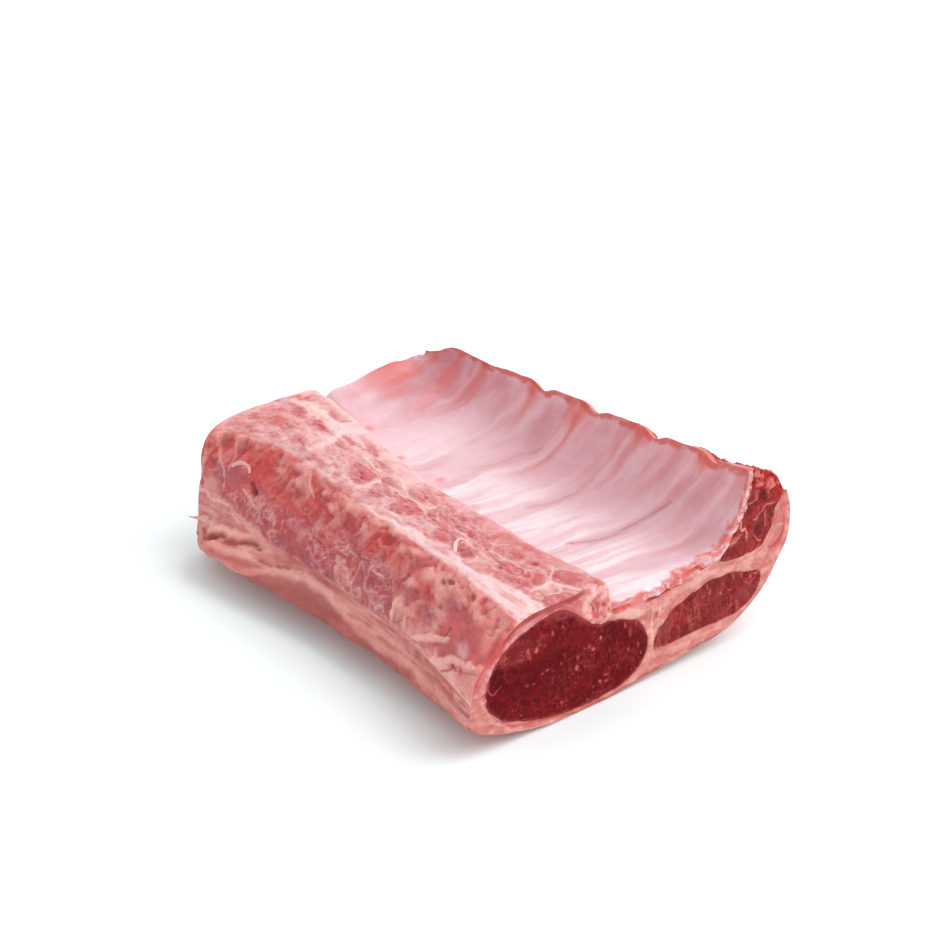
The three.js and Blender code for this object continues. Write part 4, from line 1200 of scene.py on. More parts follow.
def paint_fat_outside(layer):
    """Peach fat with a smooth lip, painted lighter as a highlight, and long faint layers low on the chine
    side, a slot near its back end, painted shade on the facet under the lip, and soft mottling underneath and
    round the back."""
    y, s = layer.y[layer.side], layer.run[layer.side]
    skin = Skin(y, s, 41, .3, .8)
    chine_side = ease(s, 24, 34)
    wavy = s + 1.2 * rough(y / 14, s / 9, 46, 2)
    layers = rough(y / 30, wavy / 1.1, 43, 3)
    early = fade(y, 20, 60)
    skin.lay("warm", .8 - .5 * ease(s, 38, 42))
    fine = rough(y / 12, wavy / .55, 54, 2)
    skin.lay("lean", chine_side * .22 * ease(fine, .1, .8), -.06)
    skin.lay("lean", chine_side * (.16 + .42 * early))
    skin.lay("lean", chine_side * .45 * ease(layers, 0, .8), -.15)
    skin.lay("film", chine_side * .35 * ease(-layers, .1, .7), .12)
    skin.mottle("lean", 4, 0, .7, .5, 59, -.2, 1.3, chine_side * early)
    skin.mottle("fat", 6, 0, .7, .6, 52, .6, 1.3, chine_side * early)
    skin.mottle("mauve", 9, .1, .8, .4, 53, 0, 2, chine_side)
    middle = ease(y, 60, 90) * fade(y, 106, 122)
    turned = s + .8 * rough(y / 9, s / 6, 56, 3) - 2.3 * middle + 3.6 * ease(y, 114, 134)
    lip = bell(turned - 40.2, 1.3) * chine_side
    # where painted shade goes: the facet under the lip, which faces the floor
    under = ease(s, 26, 33) * fade(turned, 38.2, 39.6) * ease(y, 20, 50)
    grooves = rough(y / 18, (s + .05 * y) / .6, 57, 3)
    band = chine_side * ease(turned, 39, 41)
    # painted highlight along the top of the raised lip
    skin.lay("fat", lip * .6, .5)
    skin.lay("lean", band * .45 * ease(grooves, .1, .7), -.15)
    skin.lay("deep", band * .16 * ease(grooves, .5, .9), -.15)
    skin.lay("fat", band * .5 * ease(-grooves, .1, .6), .2)
    skin.lay("lean", .45 * ease(turned, 41, 42.6) * middle)
    skin.lay("mauve", .35 * ease(turned, 41, 42.6) * middle)
    skin.streak("deep", [(126, 42.4), (118, 41.8), (110, 43), (100, 43.4)], .7, .6, -.5)
    soft = rough(y / 16, s / 12, 44, 4)
    rest = 1 - chine_side
    skin.lay("lean", rest * .35 * ease(soft, 0, .8))
    skin.lay("blood", rest * .2 * ease(-soft, .1, .8))
    skin.lay("film", rest * .35 * ease(rough(y / 9, s / 9, 45, 3), .1, .8), .15)
    skin.net("film", 7, 1, .3, 51, .15, 1.5, rest)
    slot = [(161, 38.8), (156, 40.4), (151.5, 40.2), (146, 42), (140, 42), (133, 43.6), (125, 44)]
    skin.streak("lean", slot, 3, .45, -.3)
    skin.streak("deep", slot, 1.1, .85, -.8)
    skin.spot("deep", 149, 41.2, 3, .9, .9, 0, -.8)
    skin.streak("fat", [(u, v + 2) for u, v in slot], 2.2, .8, .4)
    skin.streak("fat", [(u, v - 2.4) for u, v in slot], 3, .7, .5)
    # painted shade on the facet under the lip, weaker towards the back
    skin.lay("lean", under * .3, -.4)
    skin.lay("mauve", under * .45)
    skin.lay("deep", under * (.34 + .14 * rough(y / 12, s / 3, 58, 3)) * (1 - .4 * ease(y, 140, 160)))
    skin.relief += chine_side * rough(y / 14, s / 6, 48, 3) * .7
    skin.relief += chine_side * (layers * .3 + fine * .12 + rough(y / 5, s / 2.4, 49, 3) * .12)
    skin.bundles(4, .1, .1, 55, 1.1, 1.5, chine_side * early)
    skin.relief += rest * rough(y / 20, s / 9, 48, 3) * .4
    proud = .4 * ease(s, 36, 40) * fade(s, FOOT - 3, FOOT)
    skin.relief = (skin.relief * fade(s, 44.6, FOOT) + proud) * clear_of_cuts(y)
    skin.relief = mix(np.minimum(skin.relief, 0), skin.relief, chine_side)
    # painted shade in the hollows and painted highlight on the crests of the relief, at two sizes
    paint_relief_light_and_shade(layer, skin, 3, .25, .15)
    paint_relief_light_and_shade(layer, skin, 7, .14, .12)
    return layer.side, skin


def paint_rim(layer):
    """The sawn edge of the flank along the rim: granular red lean with pale fat between its bundles."""
    y, run = layer.y[layer.side], layer.run[layer.side]
    skin = Skin(y, run, 61, .8, .15)
    grain = rough(y / 2.4, run / 2.2, 62, 3)
    broad = rough(y / 9, run / 6, 63, 3)
    skin.lay("warm", .8)
    skin.lay("blood", .55 + .4 * ease(broad, -.4, .4))
    skin.lay("fat", .5 * ease(grain, .1, .7) * ease(run, 1, 5), .4)
    skin.lay("deep", .45 * ease(-grain, .1, .7), -.3)
    skin.relief += grain * .5
    # painted shade in the hollows and painted highlight on the crests of the relief
    paint_relief_light_and_shade(layer, skin, 3, .5, .3)
    skin.relief *= clear_of_cuts(y)
    return layer.side, skin


# ------------------------------------------------------------------------- materials

# the colours that a finish is mixed from, each with the name of its socket
TINTS = {
    "lean": "Lean", "mauve": "Mauve", "blood": "Blood", "fat": "Fat", "warm_fat": "Warm Fat", "film": "Film",
    "deep": "Deep",
}


def linear(*display):
    """Scene-linear colour from display values of 0 to 255."""
    share = np.array(display) / 255
    bent = np.where(share <= 0.04045, share / 12.92, ((share + 0.055) / 1.055) ** 2.4)
    return tuple(float(c) for c in bent)


def tint(name, red, green, blue):
    """A colour property, its default given as display values."""
    return bpy.props.FloatVectorProperty(
        name=name, description=f"Colour of the {name.lower()}", subtype="COLOR", size=3,
        min=0.0, max=1.0, default=linear(red, green, blue))


def node(tree, kind, place, inputs, **settings):
    """A new node of a tree with the given settings. Each of its inputs, by name or number, is joined to a
    socket or holds a value."""
    new = tree.nodes.new(kind)
    new.location = place
    for name, value in settings.items():
        setattr(new, name, value)
    for key, given in inputs.items():
        if isinstance(given, bpy.types.NodeSocket):
            tree.links.new(given, new.inputs[key])
        else:
            new.inputs[key].default_value = given
    return new


def maths(tree, place, operation, *terms):
    """The socket of a maths node on other sockets and numbers."""
    return node(tree, "ShaderNodeMath", place, dict(enumerate(terms)), operation=operation).outputs[0]


def new_group(name, inputs, output):
    """An empty node group with named input sockets, (name, kind, default), and its outputs, (name, kind).
    Returned with the sockets inside it and its end node."""
    tree = bpy.data.node_groups.new(name, "ShaderNodeTree")
    for socket, kind, default in inputs:
        made = tree.interface.new_socket(name=socket, in_out="INPUT", socket_type=f"NodeSocket{kind}")
        if default is not None:
            made.default_value = default
    for socket, kind in output:
        tree.interface.new_socket(name=socket, in_out="OUTPUT", socket_type=f"NodeSocket{kind}")
    start = node(tree, "NodeGroupInput", (-900, 0), {})
    return tree, start.outputs, node(tree, "NodeGroupOutput", (900, 0), {})


def blend_colours(tree, factor, under, over, place):
    """The socket of a colour mix of two others."""
    inputs = {"Factor": factor, 6: under, 7: over}
    return node(tree, "ShaderNodeMix", place, inputs, data_type="RGBA").outputs[2]


def tissue_group():
    """Colour of a place from its shares of each tissue: lean, then mauve and bloody lean, fat from white to
    salmon, which also carries painted highlights, membrane, and over everything the dark share, partly dark
    tissue and partly painted shade in hollows. Grain lightens or darkens the result."""
    colours = [(name, "Color", (1, 1, 1, 1)) for name in TINTS.values()]
    shares = [(f"{tissue.title()} Share", "Float", 0.0) for tissue in TISSUES]
    tree, get, end = new_group(
        "tissue_colour", [*colours, *shares, ("Grain", "Float", 0.5), ("Grain Strength", "Float", 0.3)],
        [("Color", "Color")])
    over = {tissue: get[tissue.title()] for tissue in LAYERS}
    over["fat"] = blend_colours(tree, get["Warm Share"], get["Fat"], get["Warm Fat"], (-600, -200))
    colour = get["Lean"]
    for k, tissue in enumerate(LAYERS):
        share = get[f"{tissue.title()} Share"]
        colour = blend_colours(tree, share, colour, over[tissue], (-400 + 180 * k, 0))
    centred = maths(tree, (100, -300), "SUBTRACT", get["Grain"], 0.5)
    swing = maths(tree, (300, -300), "MULTIPLY_ADD", centred, get["Grain Strength"], 1.0)
    shaded = node(tree, "ShaderNodeVectorMath", (600, 0), {0: colour, "Scale": swing}, operation="SCALE")
    tree.links.new(shaded.outputs[0], end.inputs["Color"])
    return tree


def grain_group():
    """Meat grain: fine noise drawn out along one direction over coarser noise, as a value about a half
    and as a height."""
    tree, get, end = new_group(
        "meat_grain",
        [("Vector", "Vector", None), ("Fibre Scale", "Float", 900.0),
         ("Fibre Stretch", "Vector", (1, 1, 1))],
        [("Grain", "Float"), ("Height", "Float")])
    drawn = node(tree, "ShaderNodeVectorMath", (-650, 0), {0: get["Vector"], 1: get["Fibre Stretch"]},
                 operation="MULTIPLY")
    slower = maths(tree, (-600, -250), "MULTIPLY", get["Fibre Scale"], 0.3)
    fine, coarse = (
        node(tree, "ShaderNodeTexNoise", (-400, height),
             {"Scale": scale, "Detail": detail, "Roughness": 0.6, "Vector": drawn.outputs[0]}).outputs["Fac"]
        for height, scale, detail in ((150, get["Fibre Scale"], 3.0), (-150, slower, 2.0)))
    both = node(tree, "ShaderNodeMix", (-100, 0), {"Factor": 0.45, "A": fine, "B": coarse},
                data_type="FLOAT")
    height = both.outputs["Result"]
    crisp = node(tree, "ShaderNodeMapRange", (150, 100), {"From Min": 0.3, "From Max": 0.7, "Value": height})
    tree.links.new(crisp.outputs["Result"], end.inputs["Grain"])
    tree.links.new(height, end.inputs["Height"])
    return tree


def sheen_group():
    """Roughness of a moist surface: smoother where membrane lies, rougher in hollows, uneven with noise."""
    tree, get, end = new_group(
        "moist_sheen",
        [("Vector", "Vector", None), ("Roughness", "Float", 0.45), ("Film Share", "Float", 0.0),
         ("Deep Share", "Float", 0.0)],
        [("Roughness", "Float")])
    patches = node(tree, "ShaderNodeTexNoise", (-600, 100),
                   {"Scale": 220.0, "Detail": 3.0, "Vector": get["Vector"]})
    uneven = maths(tree, (-350, 100), "MULTIPLY_ADD", patches.outputs["Fac"], 0.3, -0.15)
    total = maths(tree, (-100, 100), "ADD", get["Roughness"], uneven)
    for place, share, amount in (((150, 100), "Film Share", -0.12), ((350, 100), "Deep Share", 0.15)):
        total = maths(tree, place, "MULTIPLY_ADD", get[share], amount, total)
    held = node(tree, "ShaderNodeClamp", (650, 100), {"Min": 0.15, "Value": total})
    tree.links.new(held.outputs[0], end.inputs["Roughness"])
    return tree


def group_node(tree, name, make, place, inputs):
    """A node of the shared group of that name, which is made on first use."""
    return node(tree, "ShaderNodeGroup", place, inputs, node_tree=bpy.data.node_groups.get(name) or make())


def tissue_material(name, colours, fibre, stretch=(1, 1, 1), grain=0.3, roughness=0.45, bump=0.3, coat=0.1,
                    shine=0.2):
    """A moist tissue finish: its colours over the piece's own tissue shares, with grain and a wet coat."""
    material = bpy.data.materials.new(name)
    material.use_nodes = True
    tree = material.node_tree
    place = node(tree, "ShaderNodeTexCoord", (-1100, 0), {}).outputs["Object"]
    shares = {}
    for k, tissue in enumerate(TISSUES):
        share = node(tree, "ShaderNodeAttribute", (-800, 500 - 120 * k), {}, attribute_name=tissue)
        shares[f"{tissue.title()} Share"] = share.outputs["Fac"]
    grains = group_node(tree, "meat_grain", grain_group, (-800, -300),
                        {"Vector": place, "Fibre Scale": fibre, "Fibre Stretch": stretch})
    tints = {socket: (*getattr(colours, name), 1.0) for name, socket in TINTS.items()}
    tissue = group_node(tree, "tissue_colour", tissue_group, (-400, 200),
                        {**tints, **shares, "Grain Strength": grain, "Grain": grains.outputs["Grain"]})
    wet = {"Film Share": shares["Film Share"], "Deep Share": shares["Deep Share"]}
    sheen = group_node(tree, "moist_sheen", sheen_group, (-400, -200), {
        "Vector": place, "Roughness": roughness, **wet})
    relief = node(tree, "ShaderNodeBump", (-200, -400),
                  {"Strength": bump, "Distance": 0.0006, "Height": grains.outputs["Height"]})
    shader = tree.nodes["Principled BSDF"]
    tree.links.new(tissue.outputs["Color"], shader.inputs["Base Color"])
    tree.links.new(sheen.outputs["Roughness"], shader.inputs["Roughness"])
    tree.links.new(relief.outputs["Normal"], shader.inputs["Normal"])
    shader.inputs["IOR"].default_value = 1.4
    shader.inputs["Specular IOR Level"].default_value = shine
    shader.inputs["Coat Weight"].default_value = coat
    shader.inputs["Coat Roughness"].default_value = 0.3
    shader.inputs["Subsurface Weight"].default_value = 0.08
    shader.inputs["Subsurface Radius"].default_value = (1.0, 0.35, 0.25)
    shader.inputs["Subsurface Scale"].default_value = 0.0012
    return material


def plain_material(name, colour, roughness):
    """A plain matt finish for the floor."""
    material = bpy.data.materials.new(name)
    material.use_nodes = True
    shader = material.node_tree.nodes["Principled BSDF"]
    shader.inputs["Base Color"].default_value = (*colour, 1.0)
    shader.inputs["Roughness"].default_value = roughness
    shader.inputs["Specular IOR Level"].default_value = 0.0
    return material


# ------------------------------------------------------------------ settings of the add-on


class ChineColours(bpy.types.PropertyGroup):
    """Tissue colours of the chine face and the shelf."""

    lean: tint("Lean", 196, 74, 76)
    mauve: tint("Mauve", 164, 86, 96)
    blood: tint("Blood", 194, 70, 66)
    fat: tint("Fat", 240, 200, 196)
    warm_fat: tint("Warm fat", 228, 154, 142)
    film: tint("Film", 234, 198, 204)
    deep: tint("Deep", 118, 44, 48)


class WallColours(bpy.types.PropertyGroup):
    """Tissue colours of the rib wall."""

    lean: tint("Lean", 206, 118, 122)
    mauve: tint("Mauve", 188, 128, 138)
    blood: tint("Blood", 214, 94, 80)
    fat: tint("Fat", 240, 223, 228)
    warm_fat: tint("Warm fat", 230, 160, 146)
    film: tint("Film", 226, 194, 203)
    deep: tint("Deep", 132, 58, 60)


class EyeColours(bpy.types.PropertyGroup):
    """Tissue colours of the loin eye."""

    lean: tint("Lean", 110, 6, 16)
    mauve: tint("Mauve", 124, 38, 44)
    blood: tint("Blood", 132, 16, 22)
    fat: tint("Fat", 206, 108, 104)
    warm_fat: tint("Warm fat", 190, 80, 78)
    film: tint("Film", 158, 66, 70)
    deep: tint("Deep", 70, 0, 8)


class MuscleColours(bpy.types.PropertyGroup):
    """Tissue colours of the flat muscle under the ribs and of the flank."""

    lean: tint("Lean", 136, 30, 32)
    mauve: tint("Mauve", 150, 64, 68)
    blood: tint("Blood", 170, 40, 38)
    fat: tint("Fat", 232, 160, 150)
    warm_fat: tint("Warm fat", 222, 124, 112)
    film: tint("Film", 190, 108, 104)
    deep: tint("Deep", 92, 14, 20)


class FatColours(bpy.types.PropertyGroup):
    """Tissue colours of the fat cap."""

    lean: tint("Lean", 182, 84, 80)
    mauve: tint("Mauve", 176, 100, 102)
    blood: tint("Blood", 184, 56, 54)
    fat: tint("Fat", 236, 182, 172)
    warm_fat: tint("Warm fat", 204, 118, 108)
    film: tint("Film", 228, 170, 160)
    deep: tint("Deep", 112, 46, 44)


class RackSettings(bpy.types.PropertyGroup):
    """Sizes and colours of the joint."""

    skin_spacing: bpy.props.FloatProperty(
        name="Skin spacing", description="Distance between points of the surfaces that show best",
        unit="LENGTH", min=0.0003, default=0.0005)
    hidden_spacing: bpy.props.FloatProperty(
        name="Hidden spacing", description="Distance between points of the surfaces between two layers",
        unit="LENGTH", min=0.0005, default=0.002)
    eye_spacing: bpy.props.FloatProperty(
        name="Eye spacing", description="Distance between points of the loin eye's cut face",
        unit="LENGTH", min=0.0003, default=0.0004)
    chine: bpy.props.PointerProperty(
        name="Chine", description="Colours of the chine side", type=ChineColours)
    wall: bpy.props.PointerProperty(
        name="Rib wall", description="Colours of the rib wall", type=WallColours)
    eye: bpy.props.PointerProperty(
        name="Loin eye", description="Colours of the loin eye", type=EyeColours)
    muscle: bpy.props.PointerProperty(
        name="Muscles", description="Colours of the flat muscles", type=MuscleColours)
    fat: bpy.props.PointerProperty(
        name="Fat cap", description="Colours of the fat cap", type=FatColours)


# ------------------------------------------------------------- outlines of the layers

SEAM_WALL = np.array([[56.4, 33.9]])     # where the membrane tucks in under the step
SEAM_FAT = np.array([[57.3, 31.3]])      # and the fat below it
WALL_TUCK = np.array([0.4, 0.3])         # how far the wall's foot keeps from that fat
FAT_END = 8 / 12                         # share of the wall's width where the fat gives way to the flank
FINE_FAT = 28.0                          # mm from the chine foot over which the fat's points lie close
MUSCLE_ROWS = 24                         # rows of a muscle that shows only at its cuts
STRAND_SIDES = 12                        # points round a strand
STEP = 0.3                               # mm to each side over which the slope under a strand is taken


def under_wall(spacing, start, end):
    """Points of the rib wall's outer face, from one share of its width to another."""
    count = max(2, int(round(abs(end - start) * WALL_SPAN / spacing)))
    across = np.linspace(start, end, count + 1)
    at = across * WALL_SPAN
    flow = points_at(at, np.gradient(PLEURA_LINE, PLEURA_LENGTH, axis=0), PLEURA_LENGTH)
    flow /= np.linalg.norm(flow, axis=1)[:, None]
    normal = np.stack([-flow[:, 1], flow[:, 0]], 1)
    return points_at(at, PLEURA_LINE, PLEURA_LENGTH) - normal * mix(*WALL_THICK, across)[:, None]


# torn strands that stand off the chine side: places (y, s), heights over it, half width, half thickness, how
# much they narrow towards the end, and their shares of fat and of warmth
STRANDS = [
    ([(42.4, 82), (45, 84), (47.4, 87), (47.6, 90.4), (44.6, 92)], (0, .3, .5, .4, 0), .8, .5, .3, .9, .1),
    ([(155.6, 58.6), (156.2, 62.4), (153, 65.2), (148.6, 64.2), (146.4, 60.4)], (0, .3, .5, .4, 0),
     .9, .5, 0, .5, .2),
    ([(160, 41.6), (164, 40.8), (168, 40), (172.4, 39.6)], (-.6, 0, .9, 3.6), 2.6, 1.2, 1, .85, .9),
]


def side_place(y, s):
    """The real place at y and at a distance s along the outline of the chine side."""
    low = points_at(LEFT_FOOT - s, FAT_LINE, FAT_LENGTH)
    high = points_at(s - LEFT_FOOT, CHINE_LINE, CHINE_LENGTH)
    x, z = np.where((s < LEFT_FOOT)[:, None], low, high).T
    return grown(x, y, z)


def unit(vectors):
    """Vectors of length 1 in the same directions."""
    return vectors / np.linalg.norm(vectors, axis=-1, keepdims=True)


def strand(path, heights, half_width, half_thickness, narrowing):
    """Rings of points round a bent line over the chine side, each an ellipse that shrinks towards the ends
    as the square root of 1 − (2·way − 1)⁴ does, where way runs from 0 to 1 along the line."""
    line, length = spline(path, fine=10)
    way = length / length[-1]
    y, s = line.T
    up = unit(np.cross(side_place(y, s + STEP) - side_place(y, s - STEP),
                       side_place(y + STEP, s) - side_place(y - STEP, s)))
    lift = np.interp(way, np.linspace(0, 1, len(heights)), heights)
    middle = side_place(y, s) + up * lift[:, None]
    flow = unit(np.gradient(middle, axis=0))
    across = unit(np.cross(up, flow))
    top = np.cross(flow, across)
    girth = np.clip(1 - (2 * way - 1) ** 4, 0.01, 1) ** 0.5 * (1 + 0.2 * noise(way * 9, 0, 7))
    girth *= 1 - narrowing * way
    turn = 2 * np.pi * np.arange(STRAND_SIDES) / STRAND_SIDES
    oval = half_width * np.cos(turn)[None, :, None] * across[:, None]
    oval = oval + half_thickness * np.sin(turn)[None, :, None] * top[:, None]
    return middle[:, None] + girth[:, None, None] * oval


def ring(*stretches):
    """One closed outline from stretches of points. A stretch whose surface shows comes as (points, run)."""
    pairs = [stretch if isinstance(stretch, tuple) else (stretch, None) for stretch in stretches]
    points = np.concatenate([p for p, _ in pairs])
    run = np.concatenate([np.zeros(len(p)) if r is None else r for p, r in pairs])
    shown = np.concatenate([np.full(len(p), r is not None) for p, r in pairs])
    return points, run, shown


def dress(name, layer, finish, node_name, seed, paint, paint_side=None):
    """Makes a layer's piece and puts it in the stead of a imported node. Its front cut is painted with its own
    marks, its back cut without them, and its side where that shows."""
    skins = [
        (cut, paint(layer.x[cut], layer.z[cut], cut_seed, own))
        for cut, cut_seed, own in ((layer.front, seed, True), (layer.rear, seed + 200, False))]
    if paint_side:
        skins.append(paint_side(layer))
    piece = layer.piece(name, skins)
    piece.data.materials.append(finish)
    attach(piece, "root")
    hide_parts(node_name)


def settings():
    """The joint's settings, with its spacings in millimetres."""
    rack = bpy.context.scene.rack_of_lamb
    return rack, rack.skin_spacing / MM, rack.hidden_spacing / MM, rack.eye_spacing / MM


# ------------------------------------------------------------------------- operators

CAMERA_PLACE = (-0.34197, -0.41407, 0.28474)     # metres in the frame
CAMERA_SIGHT = (0.5828, 0.7045, -0.4051)
CAMERA_LENS = 64.8                # mm
CAMERA_NEAR = 0.01                # metres to the nearest thing it draws
WORLD_STRENGTH = 0.9
SUN_PLACE = (0.95, -0.72, 1.3)    # metres from the middle of the joint
SUN_STRENGTH = 1.8
SUN_WIDTH = 0.95                  # radians across, for a soft edge of the shadow
FLOOR_HALF = 4.0                  # metres from the middle to each edge of the floor
FLOOR_LEVEL = -0.0003             # metres, just under the joint
FLOOR_COLOUR = (0.88, 0.945, 0.955)
FLOOR_ROUGHNESS = 0.9


class RACK_OT_loin_eye(bpy.types.Operator):
    """Make the loin eye, the dark round muscle along the chine side"""

    bl_idname = "rack.loin_eye"
    bl_label = "Loin eye"

    def execute(self, context):
        rack, skin, _, fine = settings()
        outline = ring(spaced(EYE_TOP, skin)[0][:-1], spaced(EYE_BOTTOM, skin)[0][:-1])
        layer = Layer(*outline, MUSCLE_ROWS, fine)
        finish = tissue_material(
            "loin_eye_meat", rack.eye, 1100.0, grain=.4, roughness=.5, bump=.35, coat=.03, shine=.08)
        dress("loin_eye_meat", layer, finish, "loin_eye", 101, paint_eye)
        return {"FINISHED"}


class RACK_OT_rib_cap(bpy.types.Operator):
    """Make the flat muscle under the ribs"""

    bl_idname = "rack.rib_cap"
    bl_label = "Rib cap muscle"

    def execute(self, context):
        rack, skin, _, fine = settings()
        layer = Layer(*ring(spaced(RIB_CAP, skin, closed=True)[0]), MUSCLE_ROWS, fine)
        finish = tissue_material("rib_cap_meat", rack.muscle, 900.0, (1.6, 1, .5), .35, .5, .3, .03, .1)
        dress("rib_cap_meat", layer, finish, "rib_cap_muscle", 131, paint_rib_cap)
        return {"FINISHED"}


class RACK_OT_flank(bpy.types.Operator):
    """Make the coarse flank muscle against the rim"""

    bl_idname = "rack.flank"
    bl_label = "Flank muscle"

    def execute(self, context):
        rack, skin, _, fine = settings()
        outside, _ = spaced(FLANK_OUTSIDE, skin * 1.5)
        outline = ring(outside, spaced(FLANK_EDGE, skin), under_wall(skin * 1.5, 1.0, FAT_END))
        layer = Layer(*outline, int(LENGTH / skin / 1.2), fine)
        finish = tissue_material(
            "flank_meat", rack.muscle, 800.0, grain=.35, roughness=.48, bump=.4, coat=.06, shine=.14)
        dress("flank_meat", layer, finish, "flank_muscle", 151, paint_flank, paint_rim)
        return {"FINISHED"}


class RACK_OT_fat_cap(bpy.types.Operator):
    """Make the fat that wraps the muscles from below"""

    bl_idname = "rack.fat_cap"
    bl_label = "Fat cap"

    def execute(self, context):
        rack, skin, hidden, _ = settings()
        coarse, coarse_run = spaced(FAT_OUTSIDE, skin * 2)
        turn = int(np.searchsorted(coarse_run, FINE_FAT))
        left = np.linspace(0, coarse_run[turn], int(coarse_run[turn] / skin / 1.2) + 1)[:-1]
        outside = np.concatenate([points_at(left, FAT_LINE, FAT_LENGTH), coarse[turn:]])
        run = LEFT_FOOT - np.concatenate([left, coarse_run[turn:]])
        flank, eye = spaced(FLANK_OUTSIDE, hidden)[0][::-1], spaced(EYE_BOTTOM, hidden)[0]
        outline = ring((outside, run), flank, under_wall(hidden, FAT_END, 0.0), SEAM_FAT, eye)
        hole = spaced(RIB_CAP, hidden, closed=True)[0]
        layer = Layer(*outline, int(LENGTH / skin / 1.4), skin, 2, [hole])
        finish = tissue_material(
            "fat_jacket", rack.fat, 700.0, grain=.26, roughness=.5, bump=.42, coat=.06, shine=.18)
        dress("fat_jacket", layer, finish, "fat_cap", 171, paint_fat_cut, paint_fat_outside)
        return {"FINISHED"}


class RACK_OT_chine(bpy.types.Operator):
    """Make the chine strip: the ragged sawn face, the shelf and the step down to the ribs"""

    bl_idname = "rack.chine"
    bl_label = "Chine strip"

    def execute(self, context):
        rack, skin, hidden, fine = settings()
        outside, run = spaced(CHINE_OUTSIDE, skin)
        outline = ring((outside, run + LEFT_FOOT), spaced(EYE_TOP, hidden)[0][::-1])
        layer = Layer(*outline, int(LENGTH / skin), fine)
        finish = tissue_material(
            "chine_flesh", rack.chine, 1000.0, grain=.3, roughness=.46, bump=.5, coat=.08, shine=.2)
        dress("chine_flesh", layer, finish, "chine_strip", 191, paint_chine_cut,
              paint_chine_side)
        return {"FINISHED"}


class RACK_OT_rib_wall(bpy.types.Operator):
    """Make the rib wall under its glossy membrane"""

    bl_idname = "rack.rib_wall"
    bl_label = "Rib wall"

    def execute(self, context):
        rack, skin, hidden, fine = settings()
        tucked, outside = (SEAM_WALL, np.zeros(1)), under_wall(hidden, 1.0, 0.0)
        outline = ring(tucked, spaced(PLEURA, skin), outside, SEAM_FAT - WALL_TUCK)
        layer = Layer(*outline, int(LENGTH / skin), fine)
        finish = tissue_material("rib_membrane", rack.wall, 700.0, (1.4, .8, 1), .1, .42, .12, .2, .35)
        dress("rib_membrane", layer, finish, "rib_wall", 211, paint_wall_edge,
              paint_wall_top)
        return {"FINISHED"}


class RACK_OT_strands(bpy.types.Operator):
    """Make the torn strands of fat and membrane that stand off the chine side"""

    bl_idname = "rack.strands"
    bl_label = "Torn strands"

    def execute(self, context):
        rings, fat, warm = [], [], []
        for *shape, fat_share, warmth in STRANDS:
            rings.append(strand(*shape))
            fat.append(np.full(rings[-1].size // 3, fat_share))
            warm.append(np.full(rings[-1].size // 3, warmth))
        sides, caps, start = [], [], 0
        for part in rings:
            at = start + np.arange(part.size // 3).reshape(part.shape[:2])
            after = np.roll(at, -1, 1)
            sides.append(np.stack([at[:-1], after[:-1], after[1:], at[1:]], -1).reshape(-1, 4))
            caps.append(np.stack([at[0, ::-1], at[-1]]))
            start += at.size
        points = np.concatenate([part.reshape(-1, 3) for part in rings])
        uneven = rough(points[:, 1] / 3, points[:, 2] / 3, 81, 2)
        shares = {"fat": np.concatenate(fat), "warm": np.concatenate(warm), "film": .15 + .15 * uneven,
                  "mauve": .5 + .3 * uneven}
        piece = make_piece("torn_strands", points, [np.concatenate(sides), np.concatenate(caps)], shares)
        rack = settings()[0]
        piece.data.materials.append(tissue_material("torn_strands", rack.chine, 900.0, grain=.15, bump=.2))
        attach(piece, "root")
        return {"FINISHED"}


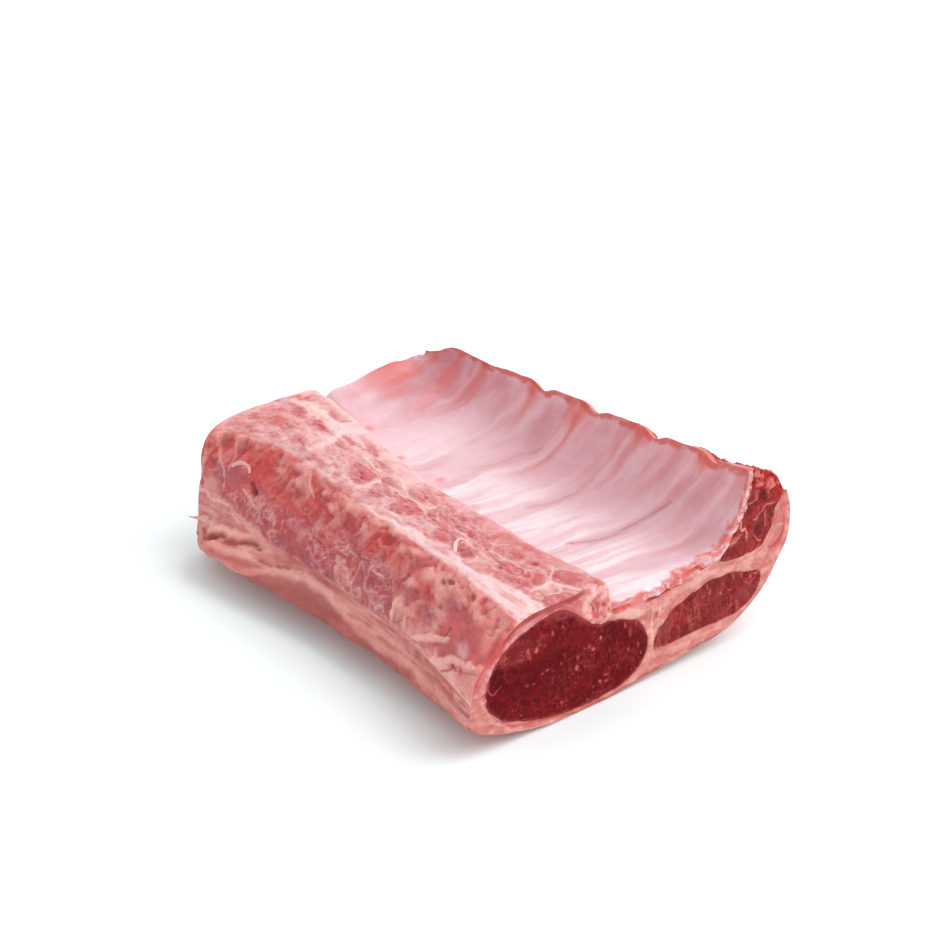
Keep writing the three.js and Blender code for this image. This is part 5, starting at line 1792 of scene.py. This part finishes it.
class RACK_OT_stage(bpy.types.Operator):
    """Make the floor, the soft studio light and the camera"""

    bl_idname = "rack.stage"
    bl_label = "Floor, light and camera"

    def execute(self, context):
        scene = context.scene
        mesh = bpy.data.meshes.new("floor")
        corners = [(FLOOR_HALF * x, FLOOR_HALF * y, 0) for x, y in ((-1, -1), (1, -1), (1, 1), (-1, 1))]
        mesh.from_pydata(corners, [], [(0, 1, 2, 3)])
        mesh.materials.append(plain_material("floor", FLOOR_COLOUR, FLOOR_ROUGHNESS))
        world = scene.world = bpy.data.worlds.new("studio")
        world.use_nodes = True
        sky = world.node_tree.nodes["Background"]
        sky.inputs["Color"].default_value = (1.0, 1.0, 1.0, 1.0)
        sky.inputs["Strength"].default_value = WORLD_STRENGTH
        sun, lens = bpy.data.lights.new("key", "SUN"), bpy.data.cameras.new("camera")
        sun.energy, sun.angle = SUN_STRENGTH, SUN_WIDTH
        lens.lens, lens.clip_start = CAMERA_LENS, CAMERA_NEAR
        floor, lamp, camera = (bpy.data.objects.new(data.name, data) for data in (mesh, sun, lens))
        for thing in (floor, lamp, camera):
            scene.collection.objects.link(thing)
        floor.location.z = FLOOR_LEVEL
        lamp.location = SUN_PLACE
        lamp.rotation_euler = (-Vector(SUN_PLACE)).to_track_quat("-Z", "Y").to_euler()
        back, right = -Vector(CAMERA_SIGHT), Vector(CAMERA_SIGHT).cross((0, 0, 1)).normalized()
        turn = Matrix((right, back.cross(right), back)).transposed().to_4x4()
        camera.matrix_world = Matrix.Translation(CAMERA_PLACE) @ turn
        scene.camera = camera
        scene.view_settings.view_transform = "Standard"
        return {"FINISHED"}


PARTS = (
    RACK_OT_loin_eye, RACK_OT_rib_cap, RACK_OT_flank, RACK_OT_fat_cap, RACK_OT_chine, RACK_OT_rib_wall,
    RACK_OT_strands, RACK_OT_stage,
)


class RACK_PT_panel(bpy.types.Panel):
    """Lists the pieces of the joint, each with its button, and its sizes"""

    bl_idname = "RACK_PT_panel"
    bl_label = "Rack of lamb"
    bl_space_type = "VIEW_3D"
    bl_region_type = "UI"
    bl_category = "Rack of lamb"

    def draw(self, context):
        rack = context.scene.rack_of_lamb
        for name in ("skin_spacing", "hidden_spacing", "eye_spacing"):
            self.layout.prop(rack, name)
        for part in PARTS:
            self.layout.operator(part.bl_idname)


COLOURS = (ChineColours, WallColours, EyeColours, MuscleColours, FatColours)
CLASSES = (*COLOURS, RackSettings, *PARTS, RACK_PT_panel)


def register():
    for kind in CLASSES:
        bpy.utils.register_class(kind)
    bpy.types.Scene.rack_of_lamb = bpy.props.PointerProperty(type=RackSettings)


def unregister():
    del bpy.types.Scene.rack_of_lamb
    for kind in reversed(CLASSES):
        bpy.utils.unregister_class(kind)


def main():
    """Makes every piece and the stage."""
    register()
    for part in PARTS:
        space, name = part.bl_idname.split(".")
        getattr(getattr(bpy.ops, space), name)()


if __name__ == "__main__":
    main()
